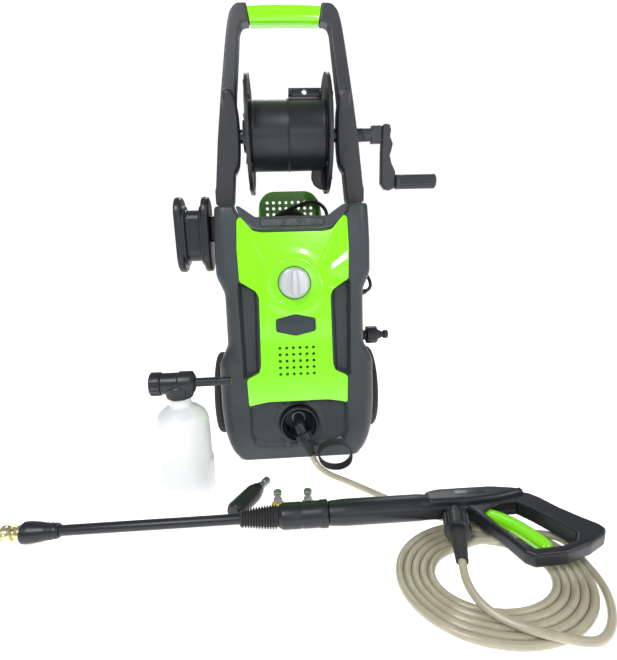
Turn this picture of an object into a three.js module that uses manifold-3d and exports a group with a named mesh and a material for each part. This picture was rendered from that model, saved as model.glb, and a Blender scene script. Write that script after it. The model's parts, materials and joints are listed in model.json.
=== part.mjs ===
// Upright electric pressure washer with a hose reel, its hose, spray gun, lance,
// foam bottle and spare nozzles. Millimetres, +Z up, front faces -Y.
// Origin: on the floor, at the centre of the flat underside of the base pan.
import * as THREE from 'three';
import { mergeVertices } from 'three/addons/utils/BufferGeometryUtils.js';
import Module from 'manifold-3d';

const wasm = await Module();
wasm.setup();

// ---------------------------------------------------------------- driving dimensions
const GAP = 0.3;                    // working clearance between touching pieces
const WALL = 4;                     // moulded shell thickness
const BODY_TOP = 514, SOCKET_X = 114, BODY_HALF = 150, WAIST_HALF = 138, FENDER_HALF = 156;
const BASE_H = 28;                  // height of the base pan
const AXLE_Y = 40, WHEEL_R = 94, WHEEL_IN = 142, WHEEL_OUT = 180, AXLE_R = 6;
const REEL_Y = 5, REEL_Z = 648, DRUM_R = 67, DRUM_HALF = 74, FLANGE_R = 113, FLANGE_T = 5;
const HANDLE_TOP = 884, GRIP_HALF = 70;
const ARM_X = 188, ARM_T = 30, CRANK_THROW = 92, CRANK_GRIP_R = 15;
const KNOB_R = 29, KNOB_Z = 366, PANEL_T = 4.5;
const OUTLET_Z = 80;
const HOSE_D = 11, CORD_D = 8;
const COIL_X = 246, COIL_Y = -466;  // middle of the oval hose coil
const COIL_OUT = [134, 113], COIL_IN = [80, 59];        // its half widths in X and Y
const GUN_AT = [180, -352, 35.4], GUN_YAW = -2.1, GUN_PITCH = 1.65;   // degrees
const LANCE_TIP = -482;             // along the lance, in the gun's own frame
const BOTTLE = [-213, -207], BOTTLE_R = 50;
const BASKET_HALF = 69, BASKET_Y0 = 47, BASKET_Y1 = 126, BASKET_Z0 = 330, BASKET_TOP = 548;

// front line of the body seen from the side: [y, z] from the floor up
const FRONT = [[-116, 0], [-124, 22], [-126, 60], [-122, 130], [-112, 190], [-103, 250],
  [-95, 340], [-86, 400], [-80, 466], [-77, 500], [-70, 520]];
const BACK = [[-40, 520], [40, 505], [43, 340], [58, 260], [74, 205], [78, 60], [70, 0]];

// ---------------------------------------------------------------- helpers
const rad = (d) => (d * Math.PI) / 180;
function solid(geometry) {
  const g = geometry.index ? geometry.toNonIndexed() : geometry.clone();
  g.deleteAttribute('normal');
  g.deleteAttribute('uv');
  const m = mergeVertices(g, 1e-4);
  return new wasm.Manifold(new wasm.Mesh({
    numProp: 3,
    vertProperties: new Float32Array(m.attributes.position.array),
    triVerts: new Uint32Array(m.index.array),
  }));
}
function surface(manifold) {
  const m = manifold.getMesh();
  const g = new THREE.BufferGeometry();
  g.setAttribute('position', new THREE.BufferAttribute(new Float32Array(m.vertProperties), 3));
  g.setIndex(new THREE.BufferAttribute(new Uint32Array(m.triVerts), 1));
  g.computeVertexNormals();
  return g;
}
const join = (...parts) => parts.flat().reduce((a, b) => a.add(b));
const cut = (a, ...tools) => tools.flat().reduce((x, b) => x.subtract(b), a);
const turn = (m, x, y, z) => m.rotate([x, y, z]);
const shift = (m, x, y, z) => m.translate([x, y, z]);

function mesh(name, body, color, rough = 0.6, metal = 0) {
  const material = new THREE.MeshStandardMaterial({ color, roughness: rough, metalness: metal });
  const out = new THREE.Mesh(body.isBufferGeometry ? body : surface(body), material);
  out.name = name;
  return out;
}
function box(x0, x1, y0, y1, z0, z1) {
  const g = new THREE.BoxGeometry(x1 - x0, y1 - y0, z1 - z0);
  g.translate((x0 + x1) / 2, (y0 + y1) / 2, (z0 + z1) / 2);
  return solid(g);
}
function plate(points, depth, bevel = 0, segments = 1) {
  const shape = new THREE.Shape(points.map(([a, b]) => new THREE.Vector2(a, b)));
  const g = new THREE.ExtrudeGeometry(shape, {
    depth: depth - 2 * bevel, bevelEnabled: bevel > 0, bevelThickness: bevel,
    bevelSize: bevel, bevelOffset: -bevel, bevelSegments: segments, steps: 1,
  });
  g.translate(0, 0, bevel);
  return solid(g);
}
// outline in [x, z], running from y0 to y1
function alongY(points, y0, y1, bevel = 0, segments = 1) {
  return shift(turn(plate(points, y1 - y0, bevel, segments), 90, 0, 0), 0, y1, 0);
}
// outline in [y, z], running from x0 to x1
function alongX(points, x0, x1, bevel = 0, segments = 1) {
  return shift(turn(plate(points, x1 - x0, bevel, segments), 90, 0, 90), x0, 0, 0);
}
// outline in [x, y], running from z0 to z1
function alongZ(points, z0, z1, bevel = 0, segments = 1) {
  return shift(plate(points, z1 - z0, bevel, segments), 0, 0, z0);
}
// closed profile of [radius, height] turned about Z
function lathe(profile, sides = 24) {
  const pts = profile.map(([r, h]) => new THREE.Vector2(r, h));
  return solid(new THREE.LatheGeometry(pts, sides));
}
function turned(profile, sides, axis, at = [0, 0, 0]) {
  const upright = turn(lathe(profile, sides), 90, 0, 0);
  const aimed = { z: [0, 0, 0], x: [0, 90, 0], y: [-90, 0, 0], '-x': [0, -90, 0], '-y': [90, 0, 0] };
  return shift(turn(upright, ...aimed[axis]), ...at);
}
const rodProfile = (r, a, b) => [[0, a], [r, a], [r, b], [0, b]];
const rod = (r, a, b, axis, at, sides = 20) => turned(rodProfile(r, a, b), sides, axis, at);
const ringProfile = (r0, r1, a, b) => [[r0, a], [r1, a], [r1, b], [r0, b], [r0, a]];
const ring = (r0, r1, a, b, axis, at, sides = 24) => turned(ringProfile(r0, r1, a, b), sides, axis, at);
// round tube laid through a list of points
function tube(points, r, steps, sides = 10) {
  const path = new THREE.CatmullRomCurve3(points.map((p) => new THREE.Vector3(...p)), false,
    'centripetal');
  const shape = new THREE.Shape();
  for (let i = 0; i < sides; i++) {
    const a = (2 * Math.PI * i) / sides;
    if (i) shape.lineTo(r * Math.cos(a), r * Math.sin(a));
    else shape.moveTo(r, 0);
  }
  return solid(new THREE.ExtrudeGeometry(shape, { steps, extrudePath: path, bevelEnabled: false }));
}
const mirrorX = (points) => points.map(([x, z]) => [-x, z]).reverse();
const both = (right) => [...right, ...mirrorX(right)];
// rounded rectangle outline, corners r
function rounded(x0, x1, y0, y1, r, n = 4) {
  const out = [];
  const corners = [[x1 - r, y0 + r, -90], [x1 - r, y1 - r, 0], [x0 + r, y1 - r, 90],
    [x0 + r, y0 + r, 180]];
  for (const [cx, cy, a0] of corners) {
    for (let i = 0; i <= n; i++) {
      const a = rad(a0 + (90 * i) / n);
      out.push([cx + r * Math.cos(a), cy + r * Math.sin(a)]);
    }
  }
  return out;
}
// moves a closed counter-clockwise outline inwards by d
function inset(points, d) {
  const n = points.length;
  return points.map((p, i) => {
    const a = points[(i + n - 1) % n], b = points[(i + 1) % n];
    const u = [p[0] - a[0], p[1] - a[1]], v = [b[0] - p[0], b[1] - p[1]];
    const lu = Math.hypot(...u), lv = Math.hypot(...v);
    const nu = [-u[1] / lu, u[0] / lu], nv = [-v[1] / lv, v[0] / lv];
    const k = d / (1 + nu[0] * nv[0] + nu[1] * nv[1]);
    return [p[0] + k * (nu[0] + nv[0]), p[1] + k * (nu[1] + nv[1])];
  });
}
// slab that follows the front of the body, from a to b in front of it
function skin(outline, a, b) {
  const near = FRONT.map(([y, z]) => [y - a, z]), far = FRONT.map(([y, z]) => [y - b, z]);
  const side = alongX([...far.reverse(), ...near].reverse(), -200, 200);
  return alongY(outline, -200, 0).intersect(side);
}

// ---------------------------------------------------------------- body of the machine
const SIDE = [...FRONT, ...BACK].reverse();
const OUTLINE = both([[60, 468], [80, 470], [104, 490], [SOCKET_X, 508], [SOCKET_X + 2, BODY_TOP],
  [BODY_HALF, BODY_TOP], [154, 440], [154, 380], [WAIST_HALF, 346], [WAIST_HALF, 236],
  [FENDER_HALF, 206], [FENDER_HALF, 120], [153, 70], [140, 44], [122, BASE_H + GAP]].reverse());
const NECK = [[76, 352], [79, 190], [106, 178], [109, 366]];          // dark side channel

function wheelWell(side, grow) {
  const [a, b] = side > 0 ? [WHEEL_IN - 8 - grow, 220] : [-220, -(WHEEL_IN - 8 - grow)];
  return rod(WHEEL_R + 9 + grow, a, b, 'x', [0, AXLE_Y, WHEEL_R], 40);
}
function channel(side, grow) {
  const pts = [[NECK[0][0] - grow, NECK[0][1] + grow], [NECK[1][0] - grow, NECK[1][1] - grow],
    [NECK[2][0] + grow, NECK[2][1] - grow], [NECK[3][0] + grow, NECK[3][1] + grow]];
  const outline = side > 0 ? pts : mirrorX(pts);
  return skin(outline, -16 - grow, 20);
}
function housing() {
  const bulk = (outline, profile, grow) => cut(
    alongY(outline, -150, 110).intersect(alongX(profile, -200, 200)),
    [-1, 1].map((s) => wheelWell(s, grow)), [-1, 1].map((s) => channel(s, grow)));
  const outer = bulk(OUTLINE, SIDE, 0);
  const inner = bulk(inset(OUTLINE, WALL), inset(SIDE, WALL), WALL)
    .add(box(-112, 112, -108, 60, 0, BASE_H + 8));
  const sockets = [-1, 1].map((s) => box(s > 0 ? 116.5 : -146, s > 0 ? 146 : -116.5, -19, 29, 480, 560));
  return cut(outer, inner, sockets,
    rod(38.4, 90, 140, '-y', [0, 0, OUTLET_Z], 28),
    rod(9, 60, 140, '-y', [0, 0, KNOB_Z], 16),
    rod(12, 120, 180, 'x', [0, -12, 233]),
    rod(11, 120, 180, 'x', [0, 8, 322]),
    rod(AXLE_R + 1, -180, 180, 'x', [0, AXLE_Y, WHEEL_R], 16));
}
const HOUSING = housing();
const SPLIT_Y = -32;
const frontShell = () => HOUSING.intersect(box(-250, 250, -200, SPLIT_Y - GAP / 2, 0, 600));
const rearShell = () => HOUSING.intersect(box(-250, 250, SPLIT_Y + GAP / 2, 200, 0, 600));

function basePan() {
  const foot = alongZ(rounded(-118, 118, -112, 68, 30, 5), 0, BASE_H, 3);
  const well = alongZ(rounded(-108, 108, -102, 60, 22, 5), 10, 60);
  const posts = [-80, 80].flatMap((x) => [-70, 40].map((y) => rod(7, 6, 26, 'z', [x, y, 0], 10)));
  const saddles = [-96, 96].map((x) => box(x - 6, x + 6, AXLE_Y - 12, AXLE_Y + 12, 6, WHEEL_R - 7));
  return join(cut(foot, well), posts, saddles);
}
function greenPanel() {
  const right = [[60, 132], [88, 127], [99, 124], [101, 178], [76, 190], [72, 204], [70, 340],
    [76, 352], [107, 371], [109, 430], [106, 488], [99, 493], [88, 480], [76, 466], [60, 463]];
  const body = skin(both(right), GAP, PANEL_T);
  const vents = [];
  for (let i = 0; i < 6; i++) {
    for (let j = 0; j < 5; j++) {
      vents.push(rod(2.8, 60, 180, '-y', [-33.5 + 13.4 * i, 0, 186 + 13 * j], 6));
    }
  }
  return cut(body, vents, rod(9, 60, 180, '-y', [0, 0, KNOB_Z], 16));
}
function badge() {
  const right = [[39, 272], [39, 296], [0, 305]];
  return skin([[-39, 296], [-39, 272], [0, 263], ...right], PANEL_T + GAP, PANEL_T + 2.6);
}
function topBridge() {
  const right = [[72, 471.2], [98, 492], [106, 510], [104, 514], [92, 506], [72, 492]];
  const bar = alongY(both(right), -84, -40);
  return cut(bar, box(-62, 62, -90, -82, 474, 489));
}
const labelStrip = () => alongY(rounded(-60, 60, 475, 488, 4, 3), -84.6, -82.3);
function axle() { return rod(AXLE_R, -186, 186, 'x', [0, AXLE_Y, WHEEL_R], 16); }

function basket() {
  const outer = alongY(rounded(-BASKET_HALF, BASKET_HALF, BASKET_Z0, BASKET_TOP, 34, 6),
    BASKET_Y0, BASKET_Y1);
  const inner = alongY(rounded(-BASKET_HALF + 3.5, BASKET_HALF - 3.5, BASKET_Z0 + 3.5,
    BASKET_TOP + 60, 30.5, 6), BASKET_Y0 + 3.5, BASKET_Y1 - 3.5);
  const open = alongX([[30, 478], [BASKET_Y1 - 3.5, 537], [BASKET_Y1 - 3.5, 620], [30, 620]], -90, 90);
  const holes = [];
  for (let i = 0; i < 8; i++) {
    for (let j = 0; j < 6; j++) {
      holes.push(rod(3.7, 100, 150, 'y', [-50.75 + 14.5 * i, 0, 457 + 13.2 * j], 6));
    }
  }
  return cut(outer, inner, open, holes);
}

function cordWrap() {
  const rim = (x0, x1) => alongX(rounded(-36, 36, 384, 534, 34, 6).map(([y, z]) => [y - 12, z]),
    x0, x1, 4, 2);
  const core = (grow, x0, x1) => alongX(rounded(-24 - grow, 24 + grow, 406 - grow, 508 + grow,
    22 + grow, 5).map(([y, z]) => [y - 12, z]), x0, x1);
  const stem = alongX(rounded(-22, -2, 444, 496, 8, 3), -164.5, -154.3);
  return join(rim(-232, -217), rim(-179, -164), core(0, -220, -176), core(9, -220, -212),
    core(9, -184, -176), stem);
}

// ---------------------------------------------------------------- handle
function leg(side) {
  const right = [[117, 484], [145, 484], [145.6, 516.5], [151, 517], [151, 546],
    [149, 550], [139, 640], [128, 720], [115, 812], [108, 850], [102, 872], [92, 882],
    [GRIP_HALF + GAP, HANDLE_TOP], [GRIP_HALF + GAP, 852], [80, 849], [84, 842], [90, 790],
    [98, 726], [104, 650], [110, 570], [115, 517], [117, 516.5]];
  const lean = [[-18, 484], [28, 484], [34, 700], [40, 884], [6, 884], [-14, 700]].reverse();
  const outline = side > 0 ? right : mirrorX(right);
  const post = alongY(outline, -20, 44).intersect(alongX(lean, -200, 200));
  const boss = side > 0 ? rod(58, 94, 112, 'x', [0, REEL_Y, REEL_Z], 32)
    : rod(58, -112, -94, 'x', [0, REEL_Y, REEL_Z], 32);
  const bore = side > 0 ? rod(14, 80, 180, 'x', [0, REEL_Y, REEL_Z], 24)
    : rod(14, -120, -80, 'x', [0, REEL_Y, REEL_Z], 24);
  const trim = box(-200, 200, -22, 42, REEL_Z - 62, REEL_Z + 62);
  return cut(join(post, boss.intersect(trim)), bore);
}
function handleGrip() {
  const tube = alongX(rounded(4, 42, 850, HANDLE_TOP, 13, 5), -GRIP_HALF, GRIP_HALF);
  return tube;
}

// ---------------------------------------------------------------- reel and crank
function drum() {
  const body = rod(DRUM_R, -DRUM_HALF, DRUM_HALF, 'x', [0, REEL_Y, REEL_Z], 32);
  const ribs = [-42, 42].map((x) => ring(DRUM_R - 2, DRUM_R + 1.6, x - 2, x + 2, 'x',
    [0, REEL_Y, REEL_Z], 32));
  const seam = ring(DRUM_R - 2, DRUM_R + 3, -1, 1, 'x', [0, REEL_Y, REEL_Z], 32);
  const left = rod(13.4, -108, -DRUM_HALF + 1, 'x', [0, REEL_Y, REEL_Z], 20);
  const right = rod(13.4, DRUM_HALF - 1, 150, 'x', [0, REEL_Y, REEL_Z], 20);
  return join(body, ribs, seam, left, right);
}
function flange(side) {
  const a = DRUM_HALF + GAP, at = [0, REEL_Y, REEL_Z], axis = side > 0 ? 'x' : '-x';
  const disc = [[13.8, a], [FLANGE_R - 5, a], [FLANGE_R - 5, a - 2], [FLANGE_R, a - 2],
    [FLANGE_R, a + FLANGE_T], [34, a + FLANGE_T], [30, a + 15], [13.8, a + 15], [13.8, a]];
  return turned(disc, 40, axis, at);
}
function hoseClip() {
  const top = REEL_Z + DRUM_R + 3.4;
  const outline = [[3, top], [68, top], [68, top + 14], [62, top + 17], [10, top + 17], [3, top + 13]];
  const block = alongY(outline, REEL_Y - 16, REEL_Y + 16, 2);
  return cut(block, rod(5.6, -40, 40, 'y', [34, REEL_Y, top + 8.6], 12));
}
function crankHub() {
  const at = [0, REEL_Y, REEL_Z];
  const pipe = rod(13, 150.3, 170, 'x', at, 20);
  const block = alongX(rounded(REEL_Y - 12, REEL_Y + 12, REEL_Z - 17, REEL_Z + 17, 6, 3),
    168, ARM_X - GAP);
  return join(pipe, block);
}
function crankArm() {
  const z = REEL_Z, x = ARM_X, low = z - CRANK_THROW;
  const outline = [[x, z - 30], [x + 2, z + 17], [x + 8, z + 20], [x + 17, z + 18], [x + 20, z + 8],
    [x + 18, z - 4], [x + 24, z - 18], [x + 21, z - 32], [x + 18, z - 40], [x + 22, z - 56],
    [x + ARM_T, z - 72], [x + ARM_T, low - 12], [x + 18, low - 17], [x + 8, low - 15], [x, low - 4]];
  const arm = alongY(outline.reverse(), REEL_Y - 11, REEL_Y + 11, 3, 1);
  return join(arm, rod(5, ARM_T - 4, 104, 'x', [ARM_X, REEL_Y, low], 14));
}
function crankGrip() {
  const a = ARM_T + 1, r = CRANK_GRIP_R;
  const profile = [[5.5, a], [r - 2, a], [r, a + 3], [r, a + 82], [r - 3, a + 85], [0, a + 85],
    [0, a + 80], [5.5, a + 80], [5.5, a]];
  return turned(profile, 20, 'x', [ARM_X, REEL_Y, REEL_Z - CRANK_THROW]);
}

// ---------------------------------------------------------------- wheels
function tyre(side) {
  const w = WHEEL_OUT - WHEEL_IN, r = WHEEL_R;
  const p = [[74, 0], [r - 5, 0], [r, 5], [r, w - 5], [r - 5, w], [74, w], [74, 0]];
  const at = [side > 0 ? WHEEL_IN : -WHEEL_IN, AXLE_Y, WHEEL_R];
  return turned(p, 48, side > 0 ? 'x' : '-x', at);
}
function hub(side) {
  const w = WHEEL_OUT - WHEEL_IN, at = [side > 0 ? WHEEL_IN : -WHEEL_IN, AXLE_Y, WHEEL_R];
  const p = [[AXLE_R + 0.4, 2], [20, 2], [20, 12], [64, 14], [66, 3], [73.7, 3], [73.7, w - 3],
    [66, w - 3], [62, w - 14], [24, w - 10], [22, w - 1], [AXLE_R + 0.4, w - 1], [AXLE_R + 0.4, 2]];
  return turned(p, 32, side > 0 ? 'x' : '-x', at);
}

// ---------------------------------------------------------------- inside the body
function motorCase() {
  const can = ring(50, 56, 150, 300, 'z', [0, -14, 0], 32);
  const lid = ring(14, 51, 150, 156, 'z', [0, -14, 0], 32);
  const fins = [];
  for (let i = 0; i < 4; i++) {
    fins.push(turn(box(54, 61, -3, 3, 160, 290), 0, 0, 45 + 90 * i));
  }
  return join(can, lid, fins.map((f) => shift(f, 0, -14, 0)));
}
function motorRotor() {
  const p = [[0, 148], [8, 148], [8, 172], [40, 172], [40, 262], [10, 262], [10, 303], [46, 303],
    [46, 310], [10, 310], [10, 318], [0, 318]];
  const body = turned(p, 24, 'z', [0, -14, 0]);
  const blades = [];
  for (let i = 0; i < 8; i++) {
    blades.push(shift(turn(box(14, 45, -1.5, 1.5, 309, 326), 0, 0, 45 * i), 0, -14, 0));
  }
  return join(body, blades);
}
function pumpBody() {
  const block = alongZ(rounded(-48, 48, -58, 32, 16, 4), 46, 122, 3);
  const neck = rod(34, 118, 147, 'z', [0, -14, 0], 24);
  const snout = rod(14, 40, 92, '-y', [0, 0, OUTLET_Z], 18);
  const port = rod(11, 40, 66, 'x', [0, -14, 96], 16);
  return cut(join(block, neck, snout, port), rod(9, 138, 160, 'z', [0, -14, 0], 16));
}
function inletPipe() {
  return tube([[66.5, -14, 96], [76, -14, 96], [92, -14, 100], [102, -13.5, 118], [104, -13, 150],
    [104, -12.4, 200], [110, -12, 225], [126, -12, 233], [143, -12, 233]], 8, 26, 10);
}
function switchBox() {
  const body = alongY(rounded(-34, 34, 334, 396, 6, 3), -74, -34);
  return join(body, rod(6, 70, 93, '-y', [0, 0, KNOB_Z], 14));
}
function capacitor() { return rod(17, 180, 270, 'z', [78, 12, 0], 20); }

// ---------------------------------------------------------------- controls and connectors
const knobTilt = 8.5;
function atKnob(m) { return shift(turn(m, -knobTilt, 0, 0), 0, -96.3, KNOB_Z); }
function knob() {
  const skirt = rod(KNOB_R, 0, 8, '-y', [0, 0, 0], 40);
  const crown = turned([[0, 7], [KNOB_R - 1.5, 7], [KNOB_R - 3.5, 13], [0, 13]], 40, '-y');
  const bar = alongZ([[-5, -25], [5, -25], [6.5, 0], [5, 25], [-5, 25], [-6.5, 0]], 0, 15, 2);
  return atKnob(join(skirt, crown, shift(turn(bar, 90, 0, 0), 0, -7, 0)));
}
function outletCup() {
  const p = [[33.6, 118], [38, 118], [38, 129], [33.6, 129], [33.6, 122], [29, 122], [29, 96],
    [14.5, 96], [14.5, 92.5], [33.6, 92.5], [33.6, 118]];
  return turned(p, 28, '-y', [0, 0, OUTLET_Z]);
}
const OUT_DIR = new THREE.Vector3(0.36, -0.42, -0.833).normalize();
const OUT_AT = [0, -134, 80];
function alongOutlet(m) {
  const q = new THREE.Quaternion().setFromUnitVectors(new THREE.Vector3(0, 0, 1), OUT_DIR);
  const t = new THREE.Matrix4().makeRotationFromQuaternion(q).setPosition(...OUT_AT);
  return m.transform([...t.elements]);
}
function outletFitting() {
  return join(rod(11, 92.3, 134, '-y', [0, 0, OUTLET_Z], 18),
    alongOutlet(rod(10.6, -4, 15, 'z', [0, 0, 0], 18)),
    turned([[0, -11], [8, -8], [11, 0], [8, 8], [0, 11]], 16, 'z', OUT_AT));
}
function knurl(r, a, b, count, bore) {
  const pts = [];
  for (let i = 0; i < 2 * count; i++) {
    const t = (Math.PI * i) / count, q = i % 2 ? r : r - 1.6;
    pts.push([q * Math.cos(t), q * Math.sin(t)]);
  }
  const nut = alongZ(pts, a, b, 1);
  return bore ? cut(nut, rod(bore, a - 1, b + 1, 'z', [0, 0, 0], 16)) : nut;
}
const outletNut = () => alongOutlet(knurl(16.5, 15.3, 33, 12));
const reliefProfile = (r0, r1, a, b) => [[0, a], [r0, a], [r0, a + 8], [r1 + 1.4, b - 14], [r1, b], [0, b]];
function outletRelief() {
  return alongOutlet(shift(turn(lathe(reliefProfile(11, 8, 0, 28.7), 16), 90, 0, 0), 0, 0, 33.3));
}
function inletCoupler() {
  const p = [[0, 143.4], [11, 143.4], [11, 157], [19, 157], [19, 181], [12, 181], [12, 184],
    [9.5, 184], [9.5, 189], [7, 191], [7, 195], [9.5, 197], [9.5, 204], [7.5, 206], [0, 206]];
  return turned(p, 20, 'x', [0, -12, 233]);
}
const GLAND_AT = [140, 8, 322], GLAND_DIR = new THREE.Vector3(0.82, 0.56, 0.1).normalize();
function cordGland() {
  const base = turned([[0, 128], [10, 128], [10, 138.6], [14, 138.6], [14, 143], [0, 146]], 16, 'x',
    [0, 8, 322]);
  const taper = turn(lathe([[0, 0], [9, 0], [8.6, 4], [5.6, 27], [0, 27]], 16), 90, 0, 0);
  const q = new THREE.Quaternion().setFromUnitVectors(new THREE.Vector3(0, 0, 1), GLAND_DIR);
  const t = new THREE.Matrix4().makeRotationFromQuaternion(q).setPosition(...GLAND_AT);
  return join(base, taper.transform([...t.elements]));
}

// ---------------------------------------------------------------- spray gun and lance
// Drawn in the gun's own frame: x along the lance towards the grip, z through its thickness.
const GUN_HALF = 12;                // half the thickness of the D handle
const GUN_OUT = [[178, 20], [205, 21], [254, 24], [303, 21], [342, 14], [360, 5], [371, -8],
  [386, -34], [404, -57], [421, -76], [424, -86], [415, -97], [386, -113], [346, -127], [302, -129],
  [291, -120], [282, -94], [272, -70], [262, -48], [256, -32], [249, -21], [178, -20]].reverse();
const GUN_IN = [[270, -38], [284, -27], [304, -18], [330, -18], [344, -36], [364, -68], [378, -92],
  [368, -106], [346, -115], [306, -117], [292, -100], [280, -70]].reverse();
const TRIGGER_AT = [276, -30];
const INLET_X = 236, INLET_DIR = Math.atan2(-0.97, -0.242);   // the hose inlet leaves this way
function alongInlet(m) {
  return shift(turn(turn(m, 0, 90, 0), 0, 0, (INLET_DIR * 180) / Math.PI), INLET_X, 0, 0);
}
function gunBody() {
  const loop = alongZ(GUN_OUT, -GUN_HALF, GUN_HALF, 5, 2);
  const hole = alongZ(GUN_IN, -30, 30);
  const barrel = turned([[0, 35], [19, 35], [20.5, 60], [20.5, 178], [17, 215], [13, 262], [0, 262]],
    24, 'x', [0, 0, 0]);
  const boss = alongInlet(rod(13, 0, 30, 'z', [0, 0, 0], 18));
  const pocket = rod(14, -9, 9, 'z', [...TRIGGER_AT, 0], 20);
  const slot = alongZ([[280, -16], [306, -12], [330, -12], [330, -40], [280, -40]].reverse(), -9, 9);
  return cut(join(loop, barrel, boss), hole, pocket, slot);
}
function trigger() {
  const pts = [[266, -24], [272, -18.5], [281, -18.5], [296, -30], [312, -44], [328, -66], [338, -92],
    [341, -106], [337, -112], [316, -112], [306, -102], [296, -80], [284, -56], [272, -41],
    [264, -33]].reverse();
  return alongZ(pts, -8, 8, 3, 1);
}
const gunNut = () => alongInlet(knurl(19.5, 30.3, 66, 14));
function gunRelief() {
  return alongInlet(shift(turn(lathe(reliefProfile(12, 8.4, 0, 56), 16), 90, 0, 0), 0, 0, 66.3));
}
function foreTube() {
  return turned([[0, -44], [17, -44], [20.5, -38], [20.5, 20], [21.5, 22], [21.5, 33], [19, 34.7],
    [0, 34.7]], 24, 'x');
}
function bellows() {
  const p = [[8.6, -106], [14, -106]];
  for (let i = 0; i < 8; i++) p.push([18.4, -103 + 7 * i], [18.4, -100 + 7 * i], [15.6, -98.5 + 7 * i]);
  p.push([16, -44.3], [8.6, -44.3], [8.6, -106]);
  return turned(p, 18, 'x');
}
const lanceTube = () => rod(8.3, LANCE_TIP + 92, -44.4, 'x', [0, 0, 0], 18);
function lanceCoupling() {
  const a = LANCE_TIP;
  return turned([[0, a + 34], [14.6, a + 34], [17, a + 40], [17, a + 84], [13, a + 91.7],
    [0, a + 91.7]], 24, 'x');
}
function quickConnect() {
  const a = LANCE_TIP;
  return turned([[5.6, a], [9, a], [9, a + 27], [12.5, a + 27], [12.5, a + 33.7], [5.6, a + 33.7],
    [5.6, a]], 20, 'x');
}
function quickSleeve() {
  const a = LANCE_TIP;
  return turned([[9.4, a + 1], [12, a + 1], [13.2, a + 3], [13.2, a + 9], [12, a + 11], [12, a + 17],
    [13.2, a + 19], [9.4, a + 19], [9.4, a + 1]], 24, 'x');
}

// ---------------------------------------------------------------- loose accessories
function foamBottle() {
  const r = BOTTLE_R;
  return turned([[0, 0], [r - 5, 0], [r, 5], [r, 62], [r - 2, 70], [r - 4, 120], [r - 10, 148],
    [22, 168], [19, 172], [19, 186], [0, 186]], 32, 'z', [...BOTTLE, 0]);
}
const HEAD_Z = 211;
function foamHead() {
  const at = [BOTTLE[0], BOTTLE[1], HEAD_Z];
  const cap = turned([[0, -24.7], [23, -24.7], [24, -22], [24, -4], [20, 0], [0, 0]], 20, 'z', at);
  const barrel = turned([[0, -29], [19, -29], [19, 0], [21, 2], [21, 24], [15, 28], [8, 30], [8, 66],
    [6.5, 68], [6.5, 74], [8, 76], [8, 92], [0, 92]], 20, 'x', at);
  return join(cap, barrel);
}
function foamDial() {
  return shift(turn(knurl(21, 29.3, 49, 14), 0, -90, 0), BOTTLE[0], BOTTLE[1], HEAD_Z);
}
function turboNozzle() {
  const p = [[0, 0], [12, 0], [15.5, 6], [15.5, 60], [11.5, 76], [8, 78], [8, 86], [5.5, 88],
    [5.5, 93], [7, 95], [7, 107], [0, 107]];
  const tilt = turn(turned(p, 20, 'x'), 0, 0, 59);
  return shift(tilt, -121, -309, 15.5);
}
function spareNozzle(x, y) {
  const p = [[0, 0], [9, 0], [11.5, 3], [11.5, 17], [8, 21], [7, 22], [7, 27], [5.4, 29], [5.4, 33],
    [7, 35], [7, 42], [0, 42]];
  return turned(p, 16, 'z', [x, y, 0]);
}

// ---------------------------------------------------------------- hose, strap and mains cord
const HOSE_LEAD = [[22.5, -160.3, 27.9], [25.8, -164.2, 20.4], [33, -172.6, 12], [43, -184, 7.2],
  [56, -198, 5.8], [84, -223, 5.8], [111, -249, 5.8], [137, -274, 5.8], [162, -298, 5.8],
  [186, -319.5, 5.8], [206, -334, 5.8]];
const HOSE_TAIL = [[201.9, -472, 36.2], [198.9, -483.5, 35.4], [197.2, -495.5, 31.7],
  [198.8, -508.5, 26.8], [204, -521.5, 22], [213, -534.5, 18.6], [226, -547, 17.5],
  [242, -558.5, 17.3], [260, -568, 17.3], [280, -575.5, 17.2], [300, -579.5, 14.9],
  [320, -577, 9.8], [337, -569, 6.6], [353, -556, 5.8], [366, -540, 5.8],
  [377, -520, 5.8], [384.5, -498, 5.8], [387.5, -476, 5.8], [387.5, -455, 5.8]];
const hoseLead = () => tube(HOSE_LEAD, HOSE_D / 2, 14, 10);
const hoseTail = () => tube(HOSE_TAIL, HOSE_D / 2, 26, 10);
function oval([a, b], n = 40) {
  return Array.from({ length: n }, (_, i) => {
    const t = (2 * Math.PI * i) / n;
    return [COIL_X + a * Math.cos(t), COIL_Y + b * Math.sin(t)];
  });
}
function hoseCoil() {
  return cut(alongZ(oval(COIL_OUT), GAP, HOSE_D + GAP, 3), alongZ(oval(COIL_IN, 32), -1, 20));
}
// band of webbing standing on its edge in a loop beside the hose
function hoseStrap() {
  const loop = [[43, 22], [48, 37], [60, 48], [78, 51], [95, 44], [102, 30], [98, 14], [85, 3.5],
    [68, 1], [52, 7]];
  return cut(alongY(loop.reverse(), -174, -152), alongY(inset(loop, 2.4), -180, -140));
}
function cordPlug() {
  const grip = turned([[0, 0], [5, 0], [6, 14], [11, 17], [13, 20], [13, 38], [11.5, 41], [0, 41]],
    16, 'y', [0, 56, 397.2]);
  const blades = [-5.5, 5.5].map((x) => box(x - 0.8, x + 0.8, 96, 113, 397.2, 403.2));
  return join(grip, blades, rod(2.4, 40, 60, 'y', [0, 56, 391.5], 10));
}
const CORD_AT = [0, 86, 420.5];
function cordCoil() {
  const g = turned(ringProfile(28, 62, -33, 33), 32, 'y', [0, 0, 0]);
  return shift(g.scale([1, 1, 1.38]), ...CORD_AT);
}
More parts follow.
